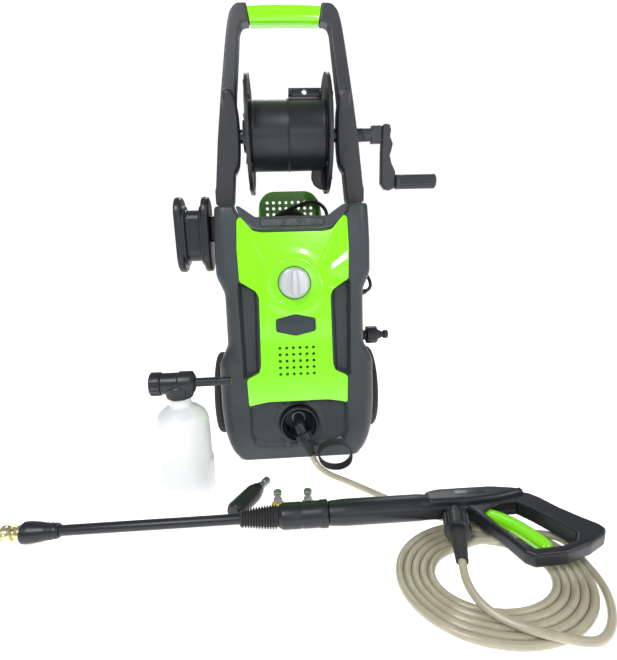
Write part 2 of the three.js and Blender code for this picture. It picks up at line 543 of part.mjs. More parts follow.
const CORD_LEAD = [[163.1, 23.9, 324.9], [169.5, 29.5, 327], [176, 39, 332], [178.5, 50.5, 339.5],
  [176.5, 62, 349], [169.5, 72, 360], [158.5, 79, 372.5], [146, 83, 386], [132, 84, 400],
  [119, 84.5, 416], [107, 84.5, 434], [98, 84, 453], [91, 83, 474], [84, 82.5, 497], [74, 82, 515],
  [60, 82.5, 525], [45, 84, 526.5], [32, 86, 520.5], [22, 87, 512.6]];
function cordLead() { return tube(CORD_LEAD, CORD_D / 2, 36, 8); }

// ---------------------------------------------------------------- assembly
const DARK = 0x3c3f42, BLACK = 0x17181a, GREEN = 0x7fe01a, SILVER = 0xc9ccd0, BRASS = 0xb98a3a;
const HOSE = 0xb9b19e;
function group(name, ...pieces) {
  const out = new THREE.Group();
  out.name = name;
  out.add(...pieces);
  return out;
}
const machine = group('machine',
  mesh('base_pan', basePan(), DARK), mesh('front_shell', frontShell(), DARK),
  mesh('rear_shell', rearShell(), DARK), mesh('green_panel', greenPanel(), GREEN, 0.25),
  mesh('badge_plate', badge(), 0x2c3136), mesh('top_bridge', topBridge(), DARK),
  mesh('label_strip', labelStrip(), 0x55585c, 0.2), mesh('wheel_axle', axle(), 0x9a9da1, 0.35, 1),
  mesh('cord_basket', basket(), GREEN, 0.3), mesh('cord_wrap', cordWrap(), BLACK),
  mesh('handle_leg_left', leg(-1), DARK), mesh('handle_leg_right', leg(1), DARK),
  mesh('handle_grip', handleGrip(), GREEN, 0.3), mesh('outlet_cup', outletCup(), BLACK),
  mesh('outlet_fitting', outletFitting(), BLACK), mesh('outlet_nut', outletNut(), BLACK),
  mesh('outlet_relief', outletRelief(), BLACK, 0.8), mesh('inlet_coupler', inletCoupler(), BLACK),
  mesh('cord_gland', cordGland(), BLACK), mesh('power_knob', knob(), SILVER, 0.3, 0.6));
const inside = group('inside',
  mesh('motor_case', motorCase(), 0x8b8f94, 0.5, 1), mesh('motor_rotor', motorRotor(), 0x6b6f74, 0.5, 1),
  mesh('pump_body', pumpBody(), 0xa8abaf, 0.45, 1), mesh('inlet_pipe', inletPipe(), BLACK),
  mesh('switch_box', switchBox(), BLACK), mesh('capacitor', capacitor(), 0xd8d8d4));
const rolling = group('wheels_and_reel',
  mesh('tyre_left', tyre(-1), BLACK, 0.85), mesh('tyre_right', tyre(1), BLACK, 0.85),
  mesh('wheel_hub_left', hub(-1), DARK), mesh('wheel_hub_right', hub(1), DARK),
  mesh('reel_flange_left', flange(-1), BLACK), mesh('reel_flange_right', flange(1), BLACK),
  mesh('reel_drum', drum(), BLACK), mesh('hose_clip', hoseClip(), BLACK),
  mesh('crank_hub', crankHub(), DARK), mesh('crank_arm', crankArm(), DARK),
  mesh('crank_grip', crankGrip(), DARK));
const gun = group('gun_and_lance',
  mesh('gun_body', gunBody(), BLACK), mesh('gun_trigger', trigger(), GREEN, 0.35),
  mesh('gun_nut', gunNut(), BLACK), mesh('gun_relief', gunRelief(), BLACK, 0.8),
  mesh('lance_fore_tube', foreTube(), BLACK), mesh('lance_bellows', bellows(), BLACK, 0.85),
  mesh('lance_tube', lanceTube(), BLACK), mesh('lance_coupling', lanceCoupling(), BLACK),
  mesh('quick_connect', quickConnect(), BRASS, 0.35, 1), mesh('quick_sleeve', quickSleeve(), BRASS, 0.35, 1));
gun.children.forEach((piece) => piece.position.set(-GUN_AT[0], 0, 0));
gun.position.set(...GUN_AT);
gun.rotation.set(0, rad(-GUN_PITCH), rad(GUN_YAW), 'ZYX');
const loose = group('accessories',
  mesh('foam_bottle', foamBottle(), 0xe8e8e6, 0.4), mesh('foam_head', foamHead(), BLACK),
  mesh('foam_dial', foamDial(), BLACK), mesh('turbo_nozzle', turboNozzle(), BLACK),
  mesh('nozzle_yellow', spareNozzle(-46, -294), 0xe8b21c, 0.4),
  mesh('nozzle_green', spareNozzle(5, -296), 0x2fa84a, 0.4));
const soft = group('hose_and_cord',
  mesh('hose_lead', hoseLead(), HOSE), mesh('hose_coil', hoseCoil(), HOSE),
  mesh('hose_tail', hoseTail(), HOSE), mesh('hose_strap', hoseStrap(), BLACK, 0.95),
  mesh('cord_coil', cordCoil(), BLACK), mesh('cord_lead', cordLead(), BLACK),
  mesh('cord_plug', cordPlug(), BLACK));

export default group('pressure_washer', machine, inside, rolling, gun, loose, soft);
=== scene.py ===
"""Upright electric pressure washer with reel, hose, spray gun, lance and accessories.

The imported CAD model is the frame: its nodes stay where they are, get fine materials, or are
hidden behind a more detailed piece that stands for them. Helpers work in millimetres.
"""
import json
import math

import bmesh
import bpy
from mathutils import Matrix, Vector

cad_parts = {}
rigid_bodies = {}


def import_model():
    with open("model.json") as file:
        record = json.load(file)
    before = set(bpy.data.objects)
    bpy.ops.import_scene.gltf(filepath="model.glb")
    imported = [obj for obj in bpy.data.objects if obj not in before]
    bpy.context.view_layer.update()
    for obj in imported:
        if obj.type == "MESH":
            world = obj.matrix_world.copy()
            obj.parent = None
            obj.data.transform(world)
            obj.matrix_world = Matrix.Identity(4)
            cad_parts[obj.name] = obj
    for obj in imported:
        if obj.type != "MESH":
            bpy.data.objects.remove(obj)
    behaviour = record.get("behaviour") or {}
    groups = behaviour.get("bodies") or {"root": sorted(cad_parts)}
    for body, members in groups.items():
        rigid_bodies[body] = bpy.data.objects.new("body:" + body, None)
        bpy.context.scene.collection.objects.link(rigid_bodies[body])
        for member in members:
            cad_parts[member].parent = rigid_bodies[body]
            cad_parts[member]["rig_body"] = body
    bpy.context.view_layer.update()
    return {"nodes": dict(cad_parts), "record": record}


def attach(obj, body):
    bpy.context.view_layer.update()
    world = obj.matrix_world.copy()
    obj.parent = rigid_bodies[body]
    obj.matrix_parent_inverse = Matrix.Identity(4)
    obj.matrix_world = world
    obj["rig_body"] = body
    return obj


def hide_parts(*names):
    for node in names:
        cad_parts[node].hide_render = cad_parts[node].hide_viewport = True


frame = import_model()
NODES = frame["nodes"]
MM = 0.001
SCENE = bpy.context.scene


# ---- small maths
rad = math.radians


def smoothstep(a, b, x):
    t = min(1.0, max(0.0, (x - a) / (b - a)))
    return t * t * (3 - 2 * t)


def interp(table, x):
    """Straight-line value at x from a list of (x, value) in rising x."""
    if x <= table[0][0]:
        return table[0][1]
    for (x0, y0), (x1, y1) in zip(table, table[1:]):
        if x <= x1:
            return y0 + (y1 - y0) * (x - x0) / (x1 - x0)
    return table[-1][1]


def soft_interp(table, x, reach):
    """interp() averaged over a short reach, so that its corners are rounded."""
    steps = (-1, -0.5, 0, 0.5, 1)
    return sum(interp(table, x + reach * s) for s in steps) / len(steps)


def smooth_path(points, step):
    """Centripetal Catmull-Rom line through the points, about step apart."""
    pts = [Vector(p) for p in points]
    pts = [2 * pts[0] - pts[1], *pts, 2 * pts[-1] - pts[-2]]
    out = []
    for p0, p1, p2, p3 in zip(pts, pts[1:], pts[2:], pts[3:]):
        t0, t1 = 0.0, (p1 - p0).length ** 0.5
        t2 = t1 + (p2 - p1).length ** 0.5
        t3 = t2 + (p3 - p2).length ** 0.5
        count = max(1, round((p2 - p1).length / step))
        for i in range(count):
            t = t1 + (t2 - t1) * i / count
            a1 = p0.lerp(p1, (t - t0) / (t1 - t0))
            a2 = p1.lerp(p2, (t - t1) / (t2 - t1))
            a3 = p2.lerp(p3, (t - t2) / (t3 - t2))
            b1 = a1.lerp(a2, (t - t0) / (t2 - t0))
            b2 = a2.lerp(a3, (t - t1) / (t3 - t1))
            out.append(b1.lerp(b2, (t - t1) / (t2 - t1)))
    out.append(pts[-2])
    return out


def length_of(points):
    return sum((b - a).length for a, b in zip(points, points[1:]))


def rounded_line(points, radius, closed=False, steps=4):
    """The line with each corner turned into a small curve of about that radius."""
    pts = [Vector(p) for p in points]
    n = len(pts)
    out = []
    for i, p in enumerate(pts):
        if not closed and i in (0, n - 1):
            out.append(p)
            continue
        a, b = pts[i - 1], pts[(i + 1) % n]
        u, v = a - p, b - p
        if u.length < 1e-6 or v.length < 1e-6:
            continue
        r = min(radius, 0.45 * u.length, 0.45 * v.length)
        s, e = p + u.normalized() * r, p + v.normalized() * r
        for k in range(steps + 1):
            t = k / steps
            out.append(s.lerp(p, t).lerp(p.lerp(e, t), t))
    return out


def rounded_outline(outline, radius, steps=4):
    """Closed outline of pairs with its corners rounded."""
    return [(p.x, p.y) for p in rounded_line([(a, b, 0) for a, b in outline], radius, True, steps)]


def flipped(right):
    """The mirror image of a right-hand outline of (x, z)."""
    return [(-x, z) for x, z in reversed(right)]


def mirrored(right):
    """A right-hand outline of (x, z), joined with its mirror image."""
    return [*right, *flipped(right)]


def spread(a, b, count):
    """Evenly spaced values from a to b, both included."""
    return [a + (b - a) * i / count for i in range(count + 1)]


def signed_power(value, power):
    """Flattens a cosine or sine so that a round section turns into a rounded box."""
    return math.copysign(abs(value) ** power, value)


def ring_faces(rows, n):
    """Quads between rows of n points, and a cap at each end."""
    quads = [(i * n + k, i * n + (k + 1) % n, (i + 1) * n + (k + 1) % n, (i + 1) * n + k)
             for i in range(rows - 1) for k in range(n)]
    return [*quads, tuple(range(n)), tuple(range((rows - 1) * n, rows * n))]


def aim(at, direction):
    """Matrix that puts local Z along direction, at a point in millimetres."""
    turn = Vector((0, 0, 1)).rotation_difference(Vector(direction).normalized())
    return Matrix.Translation(Vector(at)) @ turn.to_matrix().to_4x4()


X_AXIS, Y_AXIS, FRONTWARDS = (1, 0, 0), (0, 1, 0), (0, -1, 0)
SIDES = ((-1, "left"), (1, "right"))
# local (x, y, z) to (x, z) outlines that run along Y, and (y, z) outlines that run along X
ALONG_Y = Matrix(((1, 0, 0, 0), (0, 0, -1, 0), (0, 1, 0, 0), (0, 0, 0, 1)))
ALONG_X = Matrix(((0, 0, 1, 0), (1, 0, 0, 0), (0, 1, 0, 0), (0, 0, 0, 1)))


# ---- mesh helpers
def link(obj):
    SCENE.collection.objects.link(obj)
    return obj


def shade(obj, angle=35):
    """Smooth shading with sharp edges above the angle."""
    bm = bmesh.new()
    bm.from_mesh(obj.data)
    for face in bm.faces:
        face.smooth = True
    for edge in bm.edges:
        edge.smooth = len(edge.link_faces) != 2 or edge.calc_face_angle(0) < rad(angle)
    bm.to_mesh(obj.data)
    bm.free()
    return obj


def make(name, verts, faces, matrix=Matrix()):
    mesh = bpy.data.meshes.new(name)
    mesh.from_pydata([tuple(MM * c for c in matrix @ Vector(v)) for v in verts], [], faces)
    bm = bmesh.new()
    bm.from_mesh(mesh)
    bmesh.ops.remove_doubles(bm, verts=bm.verts, dist=1e-7)
    bmesh.ops.recalc_face_normals(bm, faces=bm.faces)
    bm.to_mesh(mesh)
    bm.free()
    return shade(link(bpy.data.objects.new(name, mesh)))


def lathe(name, profile, matrix, sides=64, fillet=0.8, shape=None, closed=False):
    """Turns (radius, height) about local Z. shape(r, h, angle) may change a radius."""
    line = [Vector((r, h, 0)) for r, h in profile]
    if fillet:
        line = rounded_line(line, fillet, closed, 3)
    verts, faces = [], []
    for p in line:
        for k in range(sides):
            t = 2 * math.pi * k / sides
            r = max(0.0, p.x)
            if shape:
                r = shape(r, p.y, t)
            verts.append((r * math.cos(t), r * math.sin(t), p.y))
    rows = len(line)
    for i in range(rows if closed else rows - 1):
        a, b = i * sides, ((i + 1) % rows) * sides
        for k in range(sides):
            m = (k + 1) % sides
            faces.append((a + k, a + m, b + m, b + k))
    return shade(weld(make(name, verts, faces, matrix), 1e-7))


def prism(name, outline, z0, z1, bevel=0.0, matrix=Matrix(), holes=(), corner=0.0, segments=3):
    """Flat outline with thickness from z0 to z1, bevelled rims and optional holes."""
    curve = bpy.data.curves.new(name, "CURVE")
    curve.dimensions, curve.fill_mode = "2D", "BOTH"
    for line in (outline, *holes):
        pts = [Vector((p[0], p[1], 0)) for p in line]
        if corner and line is outline:
            pts = rounded_line(pts, corner, True)
        spline = curve.splines.new("POLY")
        spline.points.add(len(pts) - 1)
        for q, p in zip(spline.points, pts):
            q.co = (MM * p.x, MM * p.y, 0, 1)
        spline.use_cyclic_u = True
    curve.extrude = MM * max(1e-4, (z1 - z0) / 2 - bevel)
    if bevel:
        curve.bevel_depth, curve.bevel_resolution, curve.offset = MM * bevel, segments, -MM * bevel
    obj = solid_of(link(bpy.data.objects.new(name, curve)))
    lift = Matrix.Translation((0, 0, MM * (z0 + z1) / 2))
    scaled = matrix.copy()
    scaled.translation = matrix.translation * MM
    obj.data.transform(scaled @ lift)
    return shade(weld(obj))


def solid_of(obj):
    """Replaces an object by a mesh of its evaluated shape, modifiers applied."""
    bpy.context.view_layer.update()
    graph = bpy.context.evaluated_depsgraph_get()
    mesh = bpy.data.meshes.new_from_object(obj.evaluated_get(graph))
    name = obj.name
    old = obj.data
    bpy.data.objects.remove(obj)
    if isinstance(old, bpy.types.Mesh):
        bpy.data.meshes.remove(old)
    else:
        bpy.data.curves.remove(old)
    mesh.name = name
    return link(bpy.data.objects.new(name, mesh))


def weld(obj, distance=1e-6):
    bm = bmesh.new()
    bm.from_mesh(obj.data)
    bmesh.ops.remove_doubles(bm, verts=bm.verts, dist=distance)
    bmesh.ops.dissolve_degenerate(bm, dist=1e-7, edges=bm.edges)
    bmesh.ops.recalc_face_normals(bm, faces=bm.faces)
    bm.to_mesh(obj.data)
    bm.free()
    return obj


def boolean(obj, tools, how="DIFFERENCE", angle=35):
    """Applies the closed tool meshes to obj one after the other, and removes them."""
    for tool in tools:
        change = obj.modifiers.new("cut", "BOOLEAN")
        change.object, change.operation, change.solver = tool, how, "MANIFOLD"
    obj = solid_of(obj)
    for tool in tools:
        bpy.data.objects.remove(tool)
    return shade(obj, angle)


def joined(name, objects):
    """One object from several, without a boolean."""
    bm = bmesh.new()
    for o in objects:
        bm.from_mesh(o.data)
    mesh = bpy.data.meshes.new(name)
    bm.to_mesh(mesh)
    bm.free()
    for o in objects:
        bpy.data.objects.remove(o)
    return shade(link(bpy.data.objects.new(name, mesh)))


def block(name, low, high):
    corners = [(x, y, z) for x in (low[0], high[0]) for y in (low[1], high[1])
               for z in (low[2], high[2])]
    return make(name, corners, [(0, 1, 3, 2), (4, 6, 7, 5), (0, 4, 5, 1), (2, 3, 7, 6),
                                (0, 2, 6, 4), (1, 5, 7, 3)])


def rod(name, radius, a, b, at, direction, sides=48):
    return lathe(name, [(0, a), (radius, a), (radius, b), (0, b)], aim(at, direction), sides, 0)


def soften_edges(obj, width, segments=2, angle=32):
    change = obj.modifiers.new("edges", "BEVEL")
    change.width, change.segments = MM * width, segments
    change.limit_method, change.angle_limit = "ANGLE", rad(angle)
    change.use_clamp_overlap = True
    return obj


def melt(obj, voxel, smooth):
    """Rounds every edge evenly: a fine remesh, then smoothing."""
    change = obj.modifiers.new("remesh", "REMESH")
    change.mode, change.voxel_size, change.use_smooth_shade = "VOXEL", MM * voxel, True
    relax = obj.modifiers.new("relax", "SMOOTH")
    relax.factor, relax.iterations = 0.5, smooth
    return obj


def tube_curve(name, points, radius, sides=5):
    """One open spline with a round section; points in millimetres."""
    curve = bpy.data.curves.new(name, "CURVE")
    curve.dimensions, curve.bevel_depth, curve.bevel_resolution = "3D", MM * radius, sides
    curve.use_fill_caps = True
    spline = curve.splines.new("POLY")
    spline.points.add(len(points) - 1)
    for q, p in zip(spline.points, points):
        q.co = (MM * p[0], MM * p[1], MM * p[2], 1)
    spline.use_smooth = True
    return link(bpy.data.objects.new(name, curve))


# ---- camera
CAMERA_AT = (-0.0267, -0.9687, 0.4909)
LOOK_RIGHT, LOOK_DOWN, TILT = 3.40, 14.17, 1.43
camera_data = bpy.data.cameras.new("camera")
camera_data.lens, camera_data.sensor_width = 24.56, 36.0
camera_data.clip_start, camera_data.clip_end = 0.05, 60.0
camera = link(bpy.data.objects.new("camera", camera_data))
camera.matrix_world = (Matrix.Translation(CAMERA_AT) @ Matrix.Rotation(rad(-LOOK_RIGHT), 4, "Z")
                       @ Matrix.Rotation(rad(90 - LOOK_DOWN), 4, "X")
                       @ Matrix.Rotation(rad(-TILT), 4, "Z"))
SCENE.camera = camera

# ---- cords
HOSE_D, CORD_D, ROUTE_STEP = 11.0, 8.0, 5.0
HOSE_LEAD = [(22.5, -160.3, 27.9), (25.8, -164.2, 20.4), (33, -172.6, 12), (43, -184, 7.2),
             (56, -198, 5.8), (84, -223, 5.8), (111, -249, 5.8), (137, -274, 5.8),
             (162, -298, 5.8), (186, -319.5, 5.8), (206, -333.2, 5.8), (226, -342.6, 5.8),
             (247, -349.6, 5.8), (269, -355.6, 5.8)]
HOSE_TAIL = [(201.9, -472, 36.2), (198.9, -483.5, 35.4), (197.2, -495.5, 31.7),
             (198.8, -508.5, 26.8), (204, -521.5, 22), (213, -534.5, 18.6), (226, -547, 17.5),
             (242, -558.5, 17.3), (260, -568, 17.3), (280, -575.5, 17.2), (300, -579.5, 14.9),
             (320, -577, 9.8), (337, -569, 6.6), (353, -556, 5.8), (366, -540, 5.8),
             (377, -520, 5.8), (384.5, -498, 5.8), (387.5, -476, 5.8), (387.5, -455, 5.8)]
COIL_X, COIL_Y = 246.0, -466.0
COIL_TURNS, COIL_START = 5, 70.0  # turns, and the angle where the hose joins the coil
COIL_A, COIL_B, COIL_SHRINK = 132.5, 111.5, 55.0  # outer half widths, and what the turns take in
CROSS_A, CROSS_B, CROSS_SWEEP = 141.5, 117.2, 65.0  # where and how far the last stretch crosses
HOSE_Z, CROSS_RISE = 5.8, 11.5  # centre of the hose on the floor, and its rise on itself


def coil_point(angle, a, b, z):
    return (COIL_X + a * math.cos(rad(angle)), COIL_Y + b * math.sin(rad(angle)), z)


def hose_route():
    route = list(HOSE_LEAD)
    count = 24 * COIL_TURNS
    for i in range(count + 1):
        shrink = COIL_SHRINK * i / count
        rise = CROSS_RISE * smoothstep(count - 3.0, count, i)
        route.append(coil_point(COIL_START - 360 * COIL_TURNS * i / count,
                                COIL_A - shrink, COIL_B - shrink, HOSE_Z + rise))
    a, b = COIL_A - COIL_SHRINK, COIL_B - COIL_SHRINK
    for s in spread(0.1, 0.9, 8):  # crosses over the other turns, under the gun
        out = smoothstep(0, 0.8, s)
        height = HOSE_Z + CROSS_RISE * (1 - smoothstep(0.72, 1.0, s))
        route.append(coil_point(COIL_START - CROSS_SWEEP * s, a + (CROSS_A - a) * out,
                                b + (CROSS_B - b) * out, height))
    return smooth_path(route + HOSE_TAIL[::-1], ROUTE_STEP)


hose_points = hose_route()
hose = tube_curve("hose", hose_points, HOSE_D / 2, 7)

CORD_LEAD = [(163.1, 23.9, 324.9), (169.5, 29.5, 327), (176, 39, 332), (178.5, 50.5, 339.5),
             (176.5, 62, 349), (169.5, 72, 360), (158.5, 79, 372.5), (146, 83, 386),
             (132, 84, 400), (119, 84.5, 416), (107, 84.5, 434), (98, 84, 453), (91, 83, 474),
             (84.8, 82.5, 488), (82, 82.4, 501), (74.5, 82.2, 512), (63.5, 82, 519.4), (50.5, 82, 522),
             (38, 82.2, 520.8), (25, 82, 517), (12, 81, 512), (0, 79, 507), (-10, 77, 502.6)]
WIND_AT = Vector((0.0, 86.0, 420.5))  # middle of the wound cord in the basket
WIND_STRAIGHT = 23.0  # half the straight sides
WIND_LAYERS = (57.5, 49.5, 41.5, 33.7)  # radius of each layer's round ends
WIND_TURNS = (5.25, 7.0, 7.0, 6.87)
WIND_HALF_Y = 25.2
LEAD_OUT = [(-31.8, 61, 450), (-30.6, 61.4, 440), (-26.6, 62, 430), (-21, 63.4, 421.5),
            (-15.4, 65, 414.5), (-11, 66, 408.8)]


def stadium(turn, a):
    """Point (x, z) on a long ring, turn in 0..1 from the top, first towards -X."""
    arc, straight = math.pi * a, 2 * WIND_STRAIGHT
    s = (turn % 1.0) * (2 * arc + 2 * straight)
    if s < arc / 2:
        t = s / a
        return -a * math.sin(t), WIND_STRAIGHT + a * math.cos(t)
    s -= arc / 2
    if s < straight:
        return -a, WIND_STRAIGHT - s
    s -= straight
    if s < arc:
        t = s / a
        return -a * math.cos(t), -WIND_STRAIGHT - a * math.sin(t)
    s -= arc
    if s < straight:
        return a, -WIND_STRAIGHT + s
    t = (s - straight) / a
    return a * math.cos(t), WIND_STRAIGHT + a * math.sin(t)


def cord_route():
    """Up from the gland, over the basket's edge, wound in layers, and on to the plug."""
    route = list(CORD_LEAD)
    per_turn, done, side = 28, 0.0, -0.5
    for layer, (a, turns) in enumerate(zip(WIND_LAYERS, WIND_TURNS)):
        goal = 1.0 if layer % 2 == 0 else -1.0
        steps = int(per_turn * turns)
        inner = WIND_LAYERS[layer + 1] if layer + 1 < len(WIND_LAYERS) else a
        for i in range(steps):
            u = i / steps
            t = done + turns * u
            if t < 0.07:  # the lead joins the first turn here
                continue
            x, z = stadium(t, a + (inner - a) * smoothstep(1 - 0.4 / turns, 1, u))
            y = side + (goal - side) * u
            route.append((WIND_AT.x + x, WIND_AT.y + WIND_HALF_Y * y, WIND_AT.z + z))
        side, done = goal, done + turns
    return smooth_path(route + LEAD_OUT, ROUTE_STEP)


cord_points = cord_route()
mains_cord = tube_curve("mains_cord", cord_points, CORD_D / 2, 4)


# ---- materials
MAT = {}


def material(name, color, rough, *, grain=900.0, bump=0.12, mottle=0.10, mottle_scale=14.0,
             rough_spread=0.08, wear_and_highlight=0.25, metal=0.0, coat=0.0, coat_rough=0.08, specular=0.5,
             sheen=0.0, brushed=None, weave=None, subsurface=0.0, tone=None, glow=0.0):
    """Moulded or finished surface: mottled colour, fine grain, uneven gloss, and paler edges that are
    partly wear and partly a painted edge highlight.
    """
    mat = bpy.data.materials.new(name)
    mat.use_nodes = True
    tree = mat.node_tree
    tree.nodes.clear()

    def node(kind, **values):
        made = tree.nodes.new(kind)
        for key, value in values.items():
            if key in made.inputs:
                made.inputs[key].default_value = value
            else:
                setattr(made, key, value)
        return made

    def wire(a, out, b, into):
        tree.links.new(a.outputs[out], b.inputs[into])

    shader = node("ShaderNodeBsdfPrincipled", Metallic=metal, IOR=1.5, **{
        "Coat Weight": coat, "Coat Roughness": coat_rough, "Specular IOR Level": specular,
        "Sheen Weight": sheen, "Subsurface Weight": subsurface, "Subsurface Scale": 0.01,
        "Emission Color": (1, 1, 1, 1), "Emission Strength": glow})
    wire(shader, "BSDF", node("ShaderNodeOutputMaterial"), "Surface")
    place = node("ShaderNodeTexCoord")
    where, slot_in = place, "Object"
    if brushed:
        where, slot_in = node("ShaderNodeMapping", Scale=brushed), "Vector"
        wire(place, "Object", where, "Vector")

    # broad patches of a lighter and a darker shade
    broad = node("ShaderNodeTexNoise", Scale=mottle_scale, Detail=5.0)
    wire(place, "Object", broad, "Vector")
    shades = node("ShaderNodeValToRGB")
    low, high = shades.color_ramp.elements
    low.position, high.position = 0.3, 0.7
    low.color = (*[c * (1 - mottle) for c in color], 1)
    high.color = (*[min(1.0, c * (1 + mottle)) for c in tone or color], 1)
    wire(broad, "Fac", shades, "Fac")
    last, last_out = shades, "Color"
    if wear_and_highlight:  # paler where an edge sticks out, in scuffed spots: wear, and a painted highlight on the edges
        shape = node("ShaderNodeNewGeometry")
        edge = node("ShaderNodeValToRGB")
        edge.color_ramp.elements[0].position = 0.515
        edge.color_ramp.elements[1].position = 0.60
        wire(shape, "Pointiness", edge, "Fac")
        scuff = node("ShaderNodeTexNoise", Scale=90.0, Detail=6.0)
        wire(place, "Object", scuff, "Vector")
        amount = node("ShaderNodeMath", operation="MULTIPLY")
        wire(edge, "Color", amount, 0)
        wire(scuff, "Fac", amount, 1)
        share = node("ShaderNodeMath", operation="MULTIPLY")
        share.inputs[1].default_value = wear_and_highlight
        wire(amount, "Value", share, 0)
        # wear and painted edge highlight: a paler copy of the colour, mixed in where edges stick out
        paler_wear_and_highlight = node("ShaderNodeMix", data_type="RGBA")
        paler_wear_and_highlight.inputs["B"].default_value = (*[min(1.0, 0.06 + c * 1.5) for c in color], 1)
        wire(share, "Value", paler_wear_and_highlight, "Factor")
        wire(last, last_out, paler_wear_and_highlight, "A")
        last, last_out = paler_wear_and_highlight, "Result"
    wire(last, last_out, shader, "Base Color")

    uneven = node("ShaderNodeTexNoise", Scale=mottle_scale * 3.1, Detail=4.0)
    wire(place, "Object", uneven, "Vector")
    gloss = node("ShaderNodeMapRange")
    gloss.inputs["To Min"].default_value = max(0.02, rough - rough_spread)
    gloss.inputs["To Max"].default_value = min(1.0, rough + rough_spread)
    wire(uneven, "Fac", gloss, "Value")
    wire(gloss, "Result", shader, "Roughness")

    if weave:
        fine = node("ShaderNodeTexWave", Scale=weave, Distortion=0.6, bands_direction="DIAGONAL")
    else:
        fine = node("ShaderNodeTexNoise", Scale=grain, Detail=3.0)
    wire(where, slot_in, fine, "Vector")
    relief = node("ShaderNodeBump", Strength=bump, Distance=0.0006)
    wire(fine, "Fac", relief, "Height")
    wire(relief, "Normal", shader, "Normal")
    MAT[name] = mat


# each finish: its name, base colour, roughness and what sets it apart
material("dark_shell", (0.034, 0.044, 0.050), 0.42, grain=1500, bump=0.14, wear_and_highlight=0.22)
material("handle_grey", (0.032, 0.034, 0.042), 0.42, grain=1300, bump=0.14, wear_and_highlight=0.2)
material("green_gloss", (0.255, 0.90, 0.004), 0.20, grain=260, bump=0.015, mottle=0.03,
         rough_spread=0.04, wear_and_highlight=0.1, coat=0.8, coat_rough=0.05)
material("green_leaf", (0.115, 0.50, 0.004), 0.32, grain=300, bump=0.03, mottle=0.08, wear_and_highlight=0.15,
         coat=0.4)
material("black_plastic", (0.014, 0.016, 0.021), 0.36, grain=1500, mottle=0.15, wear_and_highlight=0.2)
material("black_rubber", (0.016, 0.016, 0.018), 0.62, bump=0.25, mottle=0.2, wear_and_highlight=0.3, sheen=0.1)
material("tyre_black", (0.022, 0.022, 0.023), 0.72, grain=700, bump=0.35, mottle=0.3, wear_and_highlight=0.4)
material("badge_grey", (0.016, 0.030, 0.036), 0.30, grain=800, bump=0.05, mottle=0.06, coat=0.3)
material("label_clear", (0.052, 0.066, 0.066), 0.16, grain=400, bump=0.05, mottle=0.45, mottle_scale=90,
         coat=0.7)
material("knob_silver", (0.55, 0.57, 0.61), 0.34, grain=2200, bump=0.05, mottle=0.05, metal=0.35,
         coat=0.3, wear_and_highlight=0.1)
material("steel", (0.30, 0.30, 0.31), 0.45, grain=700, bump=0.10, metal=0.9, brushed=(1, 1, 9), wear_and_highlight=0.0)
material("cast_alloy", (0.52, 0.53, 0.55), 0.5, grain=500, bump=0.3, metal=1.0, mottle=0.15, wear_and_highlight=0.3)
material("brass", (0.80, 0.70, 0.40), 0.26, bump=0.06, metal=1.0, tone=(0.92, 0.86, 0.60), wear_and_highlight=0.2)
material("bottle_white", (0.80, 0.82, 0.83), 0.30, grain=500, bump=0.04, mottle=0.015, wear_and_highlight=0.0,
         coat=0.2, subsurface=0.25)
material("capacitor_white", (0.75, 0.75, 0.72), 0.35, grain=600, bump=0.05, mottle=0.05)
material("nozzle_yellow", (0.80, 0.50, 0.03), 0.35, bump=0.08, mottle=0.06)
material("nozzle_green", (0.03, 0.36, 0.10), 0.35, bump=0.08, mottle=0.06)
material("hose_clear", (0.46, 0.42, 0.31), 0.24, bump=0.25, mottle_scale=45, coat=0.5, wear_and_highlight=0.0,
         weave=420)
material("strap_fabric", (0.008, 0.008, 0.010), 0.8, bump=0.35, weave=1500, sheen=0.1, wear_and_highlight=0.0)
material("sticker_white", (0.78, 0.78, 0.80), 0.35, grain=700, bump=0.03, mottle=0.03, wear_and_highlight=0.0,
         coat=0.2)
SLOT_OF = {row["node"]: row["material_slot"] for row in frame["record"]["subparts"]}


def paint(obj, name):
    obj.data.materials.clear()
    obj.data.materials.append(MAT[name])
    return obj


def piece(obj, body, look, stands_for=()):
    """Names a new piece's body, its finish, and the CAD nodes it stands for."""
    paint(obj, look)
    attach(obj, body)
    if stands_for:
        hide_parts(*stands_for)
    return obj


piece(hose, "machine", "hose_clear", stands_for=("hose_lead", "hose_coil", "hose_tail"))
piece(mains_cord, "machine", "black_rubber", stands_for=("cord_coil", "cord_lead"))


def stand_in(obj, node, look=None):
    """A finer piece in the place of one CAD node: same body, same slot."""
    obj.name = obj.data.name = node + "_fine"
    return piece(obj, NODES[node]["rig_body"], look or SLOT_OF[node], (node,))


def turned(node, profile, matrix, sides=64, fillet=0.8, shape=None, closed=False, look=None):
    """A turned piece in the place of one CAD node."""
    stand_in(lathe(node, profile, matrix, sides, fillet, shape, closed), node, look)


def extra(obj, name, body, look):
    """A piece that no CAD node stands behind."""
    obj.name = obj.data.name = name
    return piece(obj, body, look)


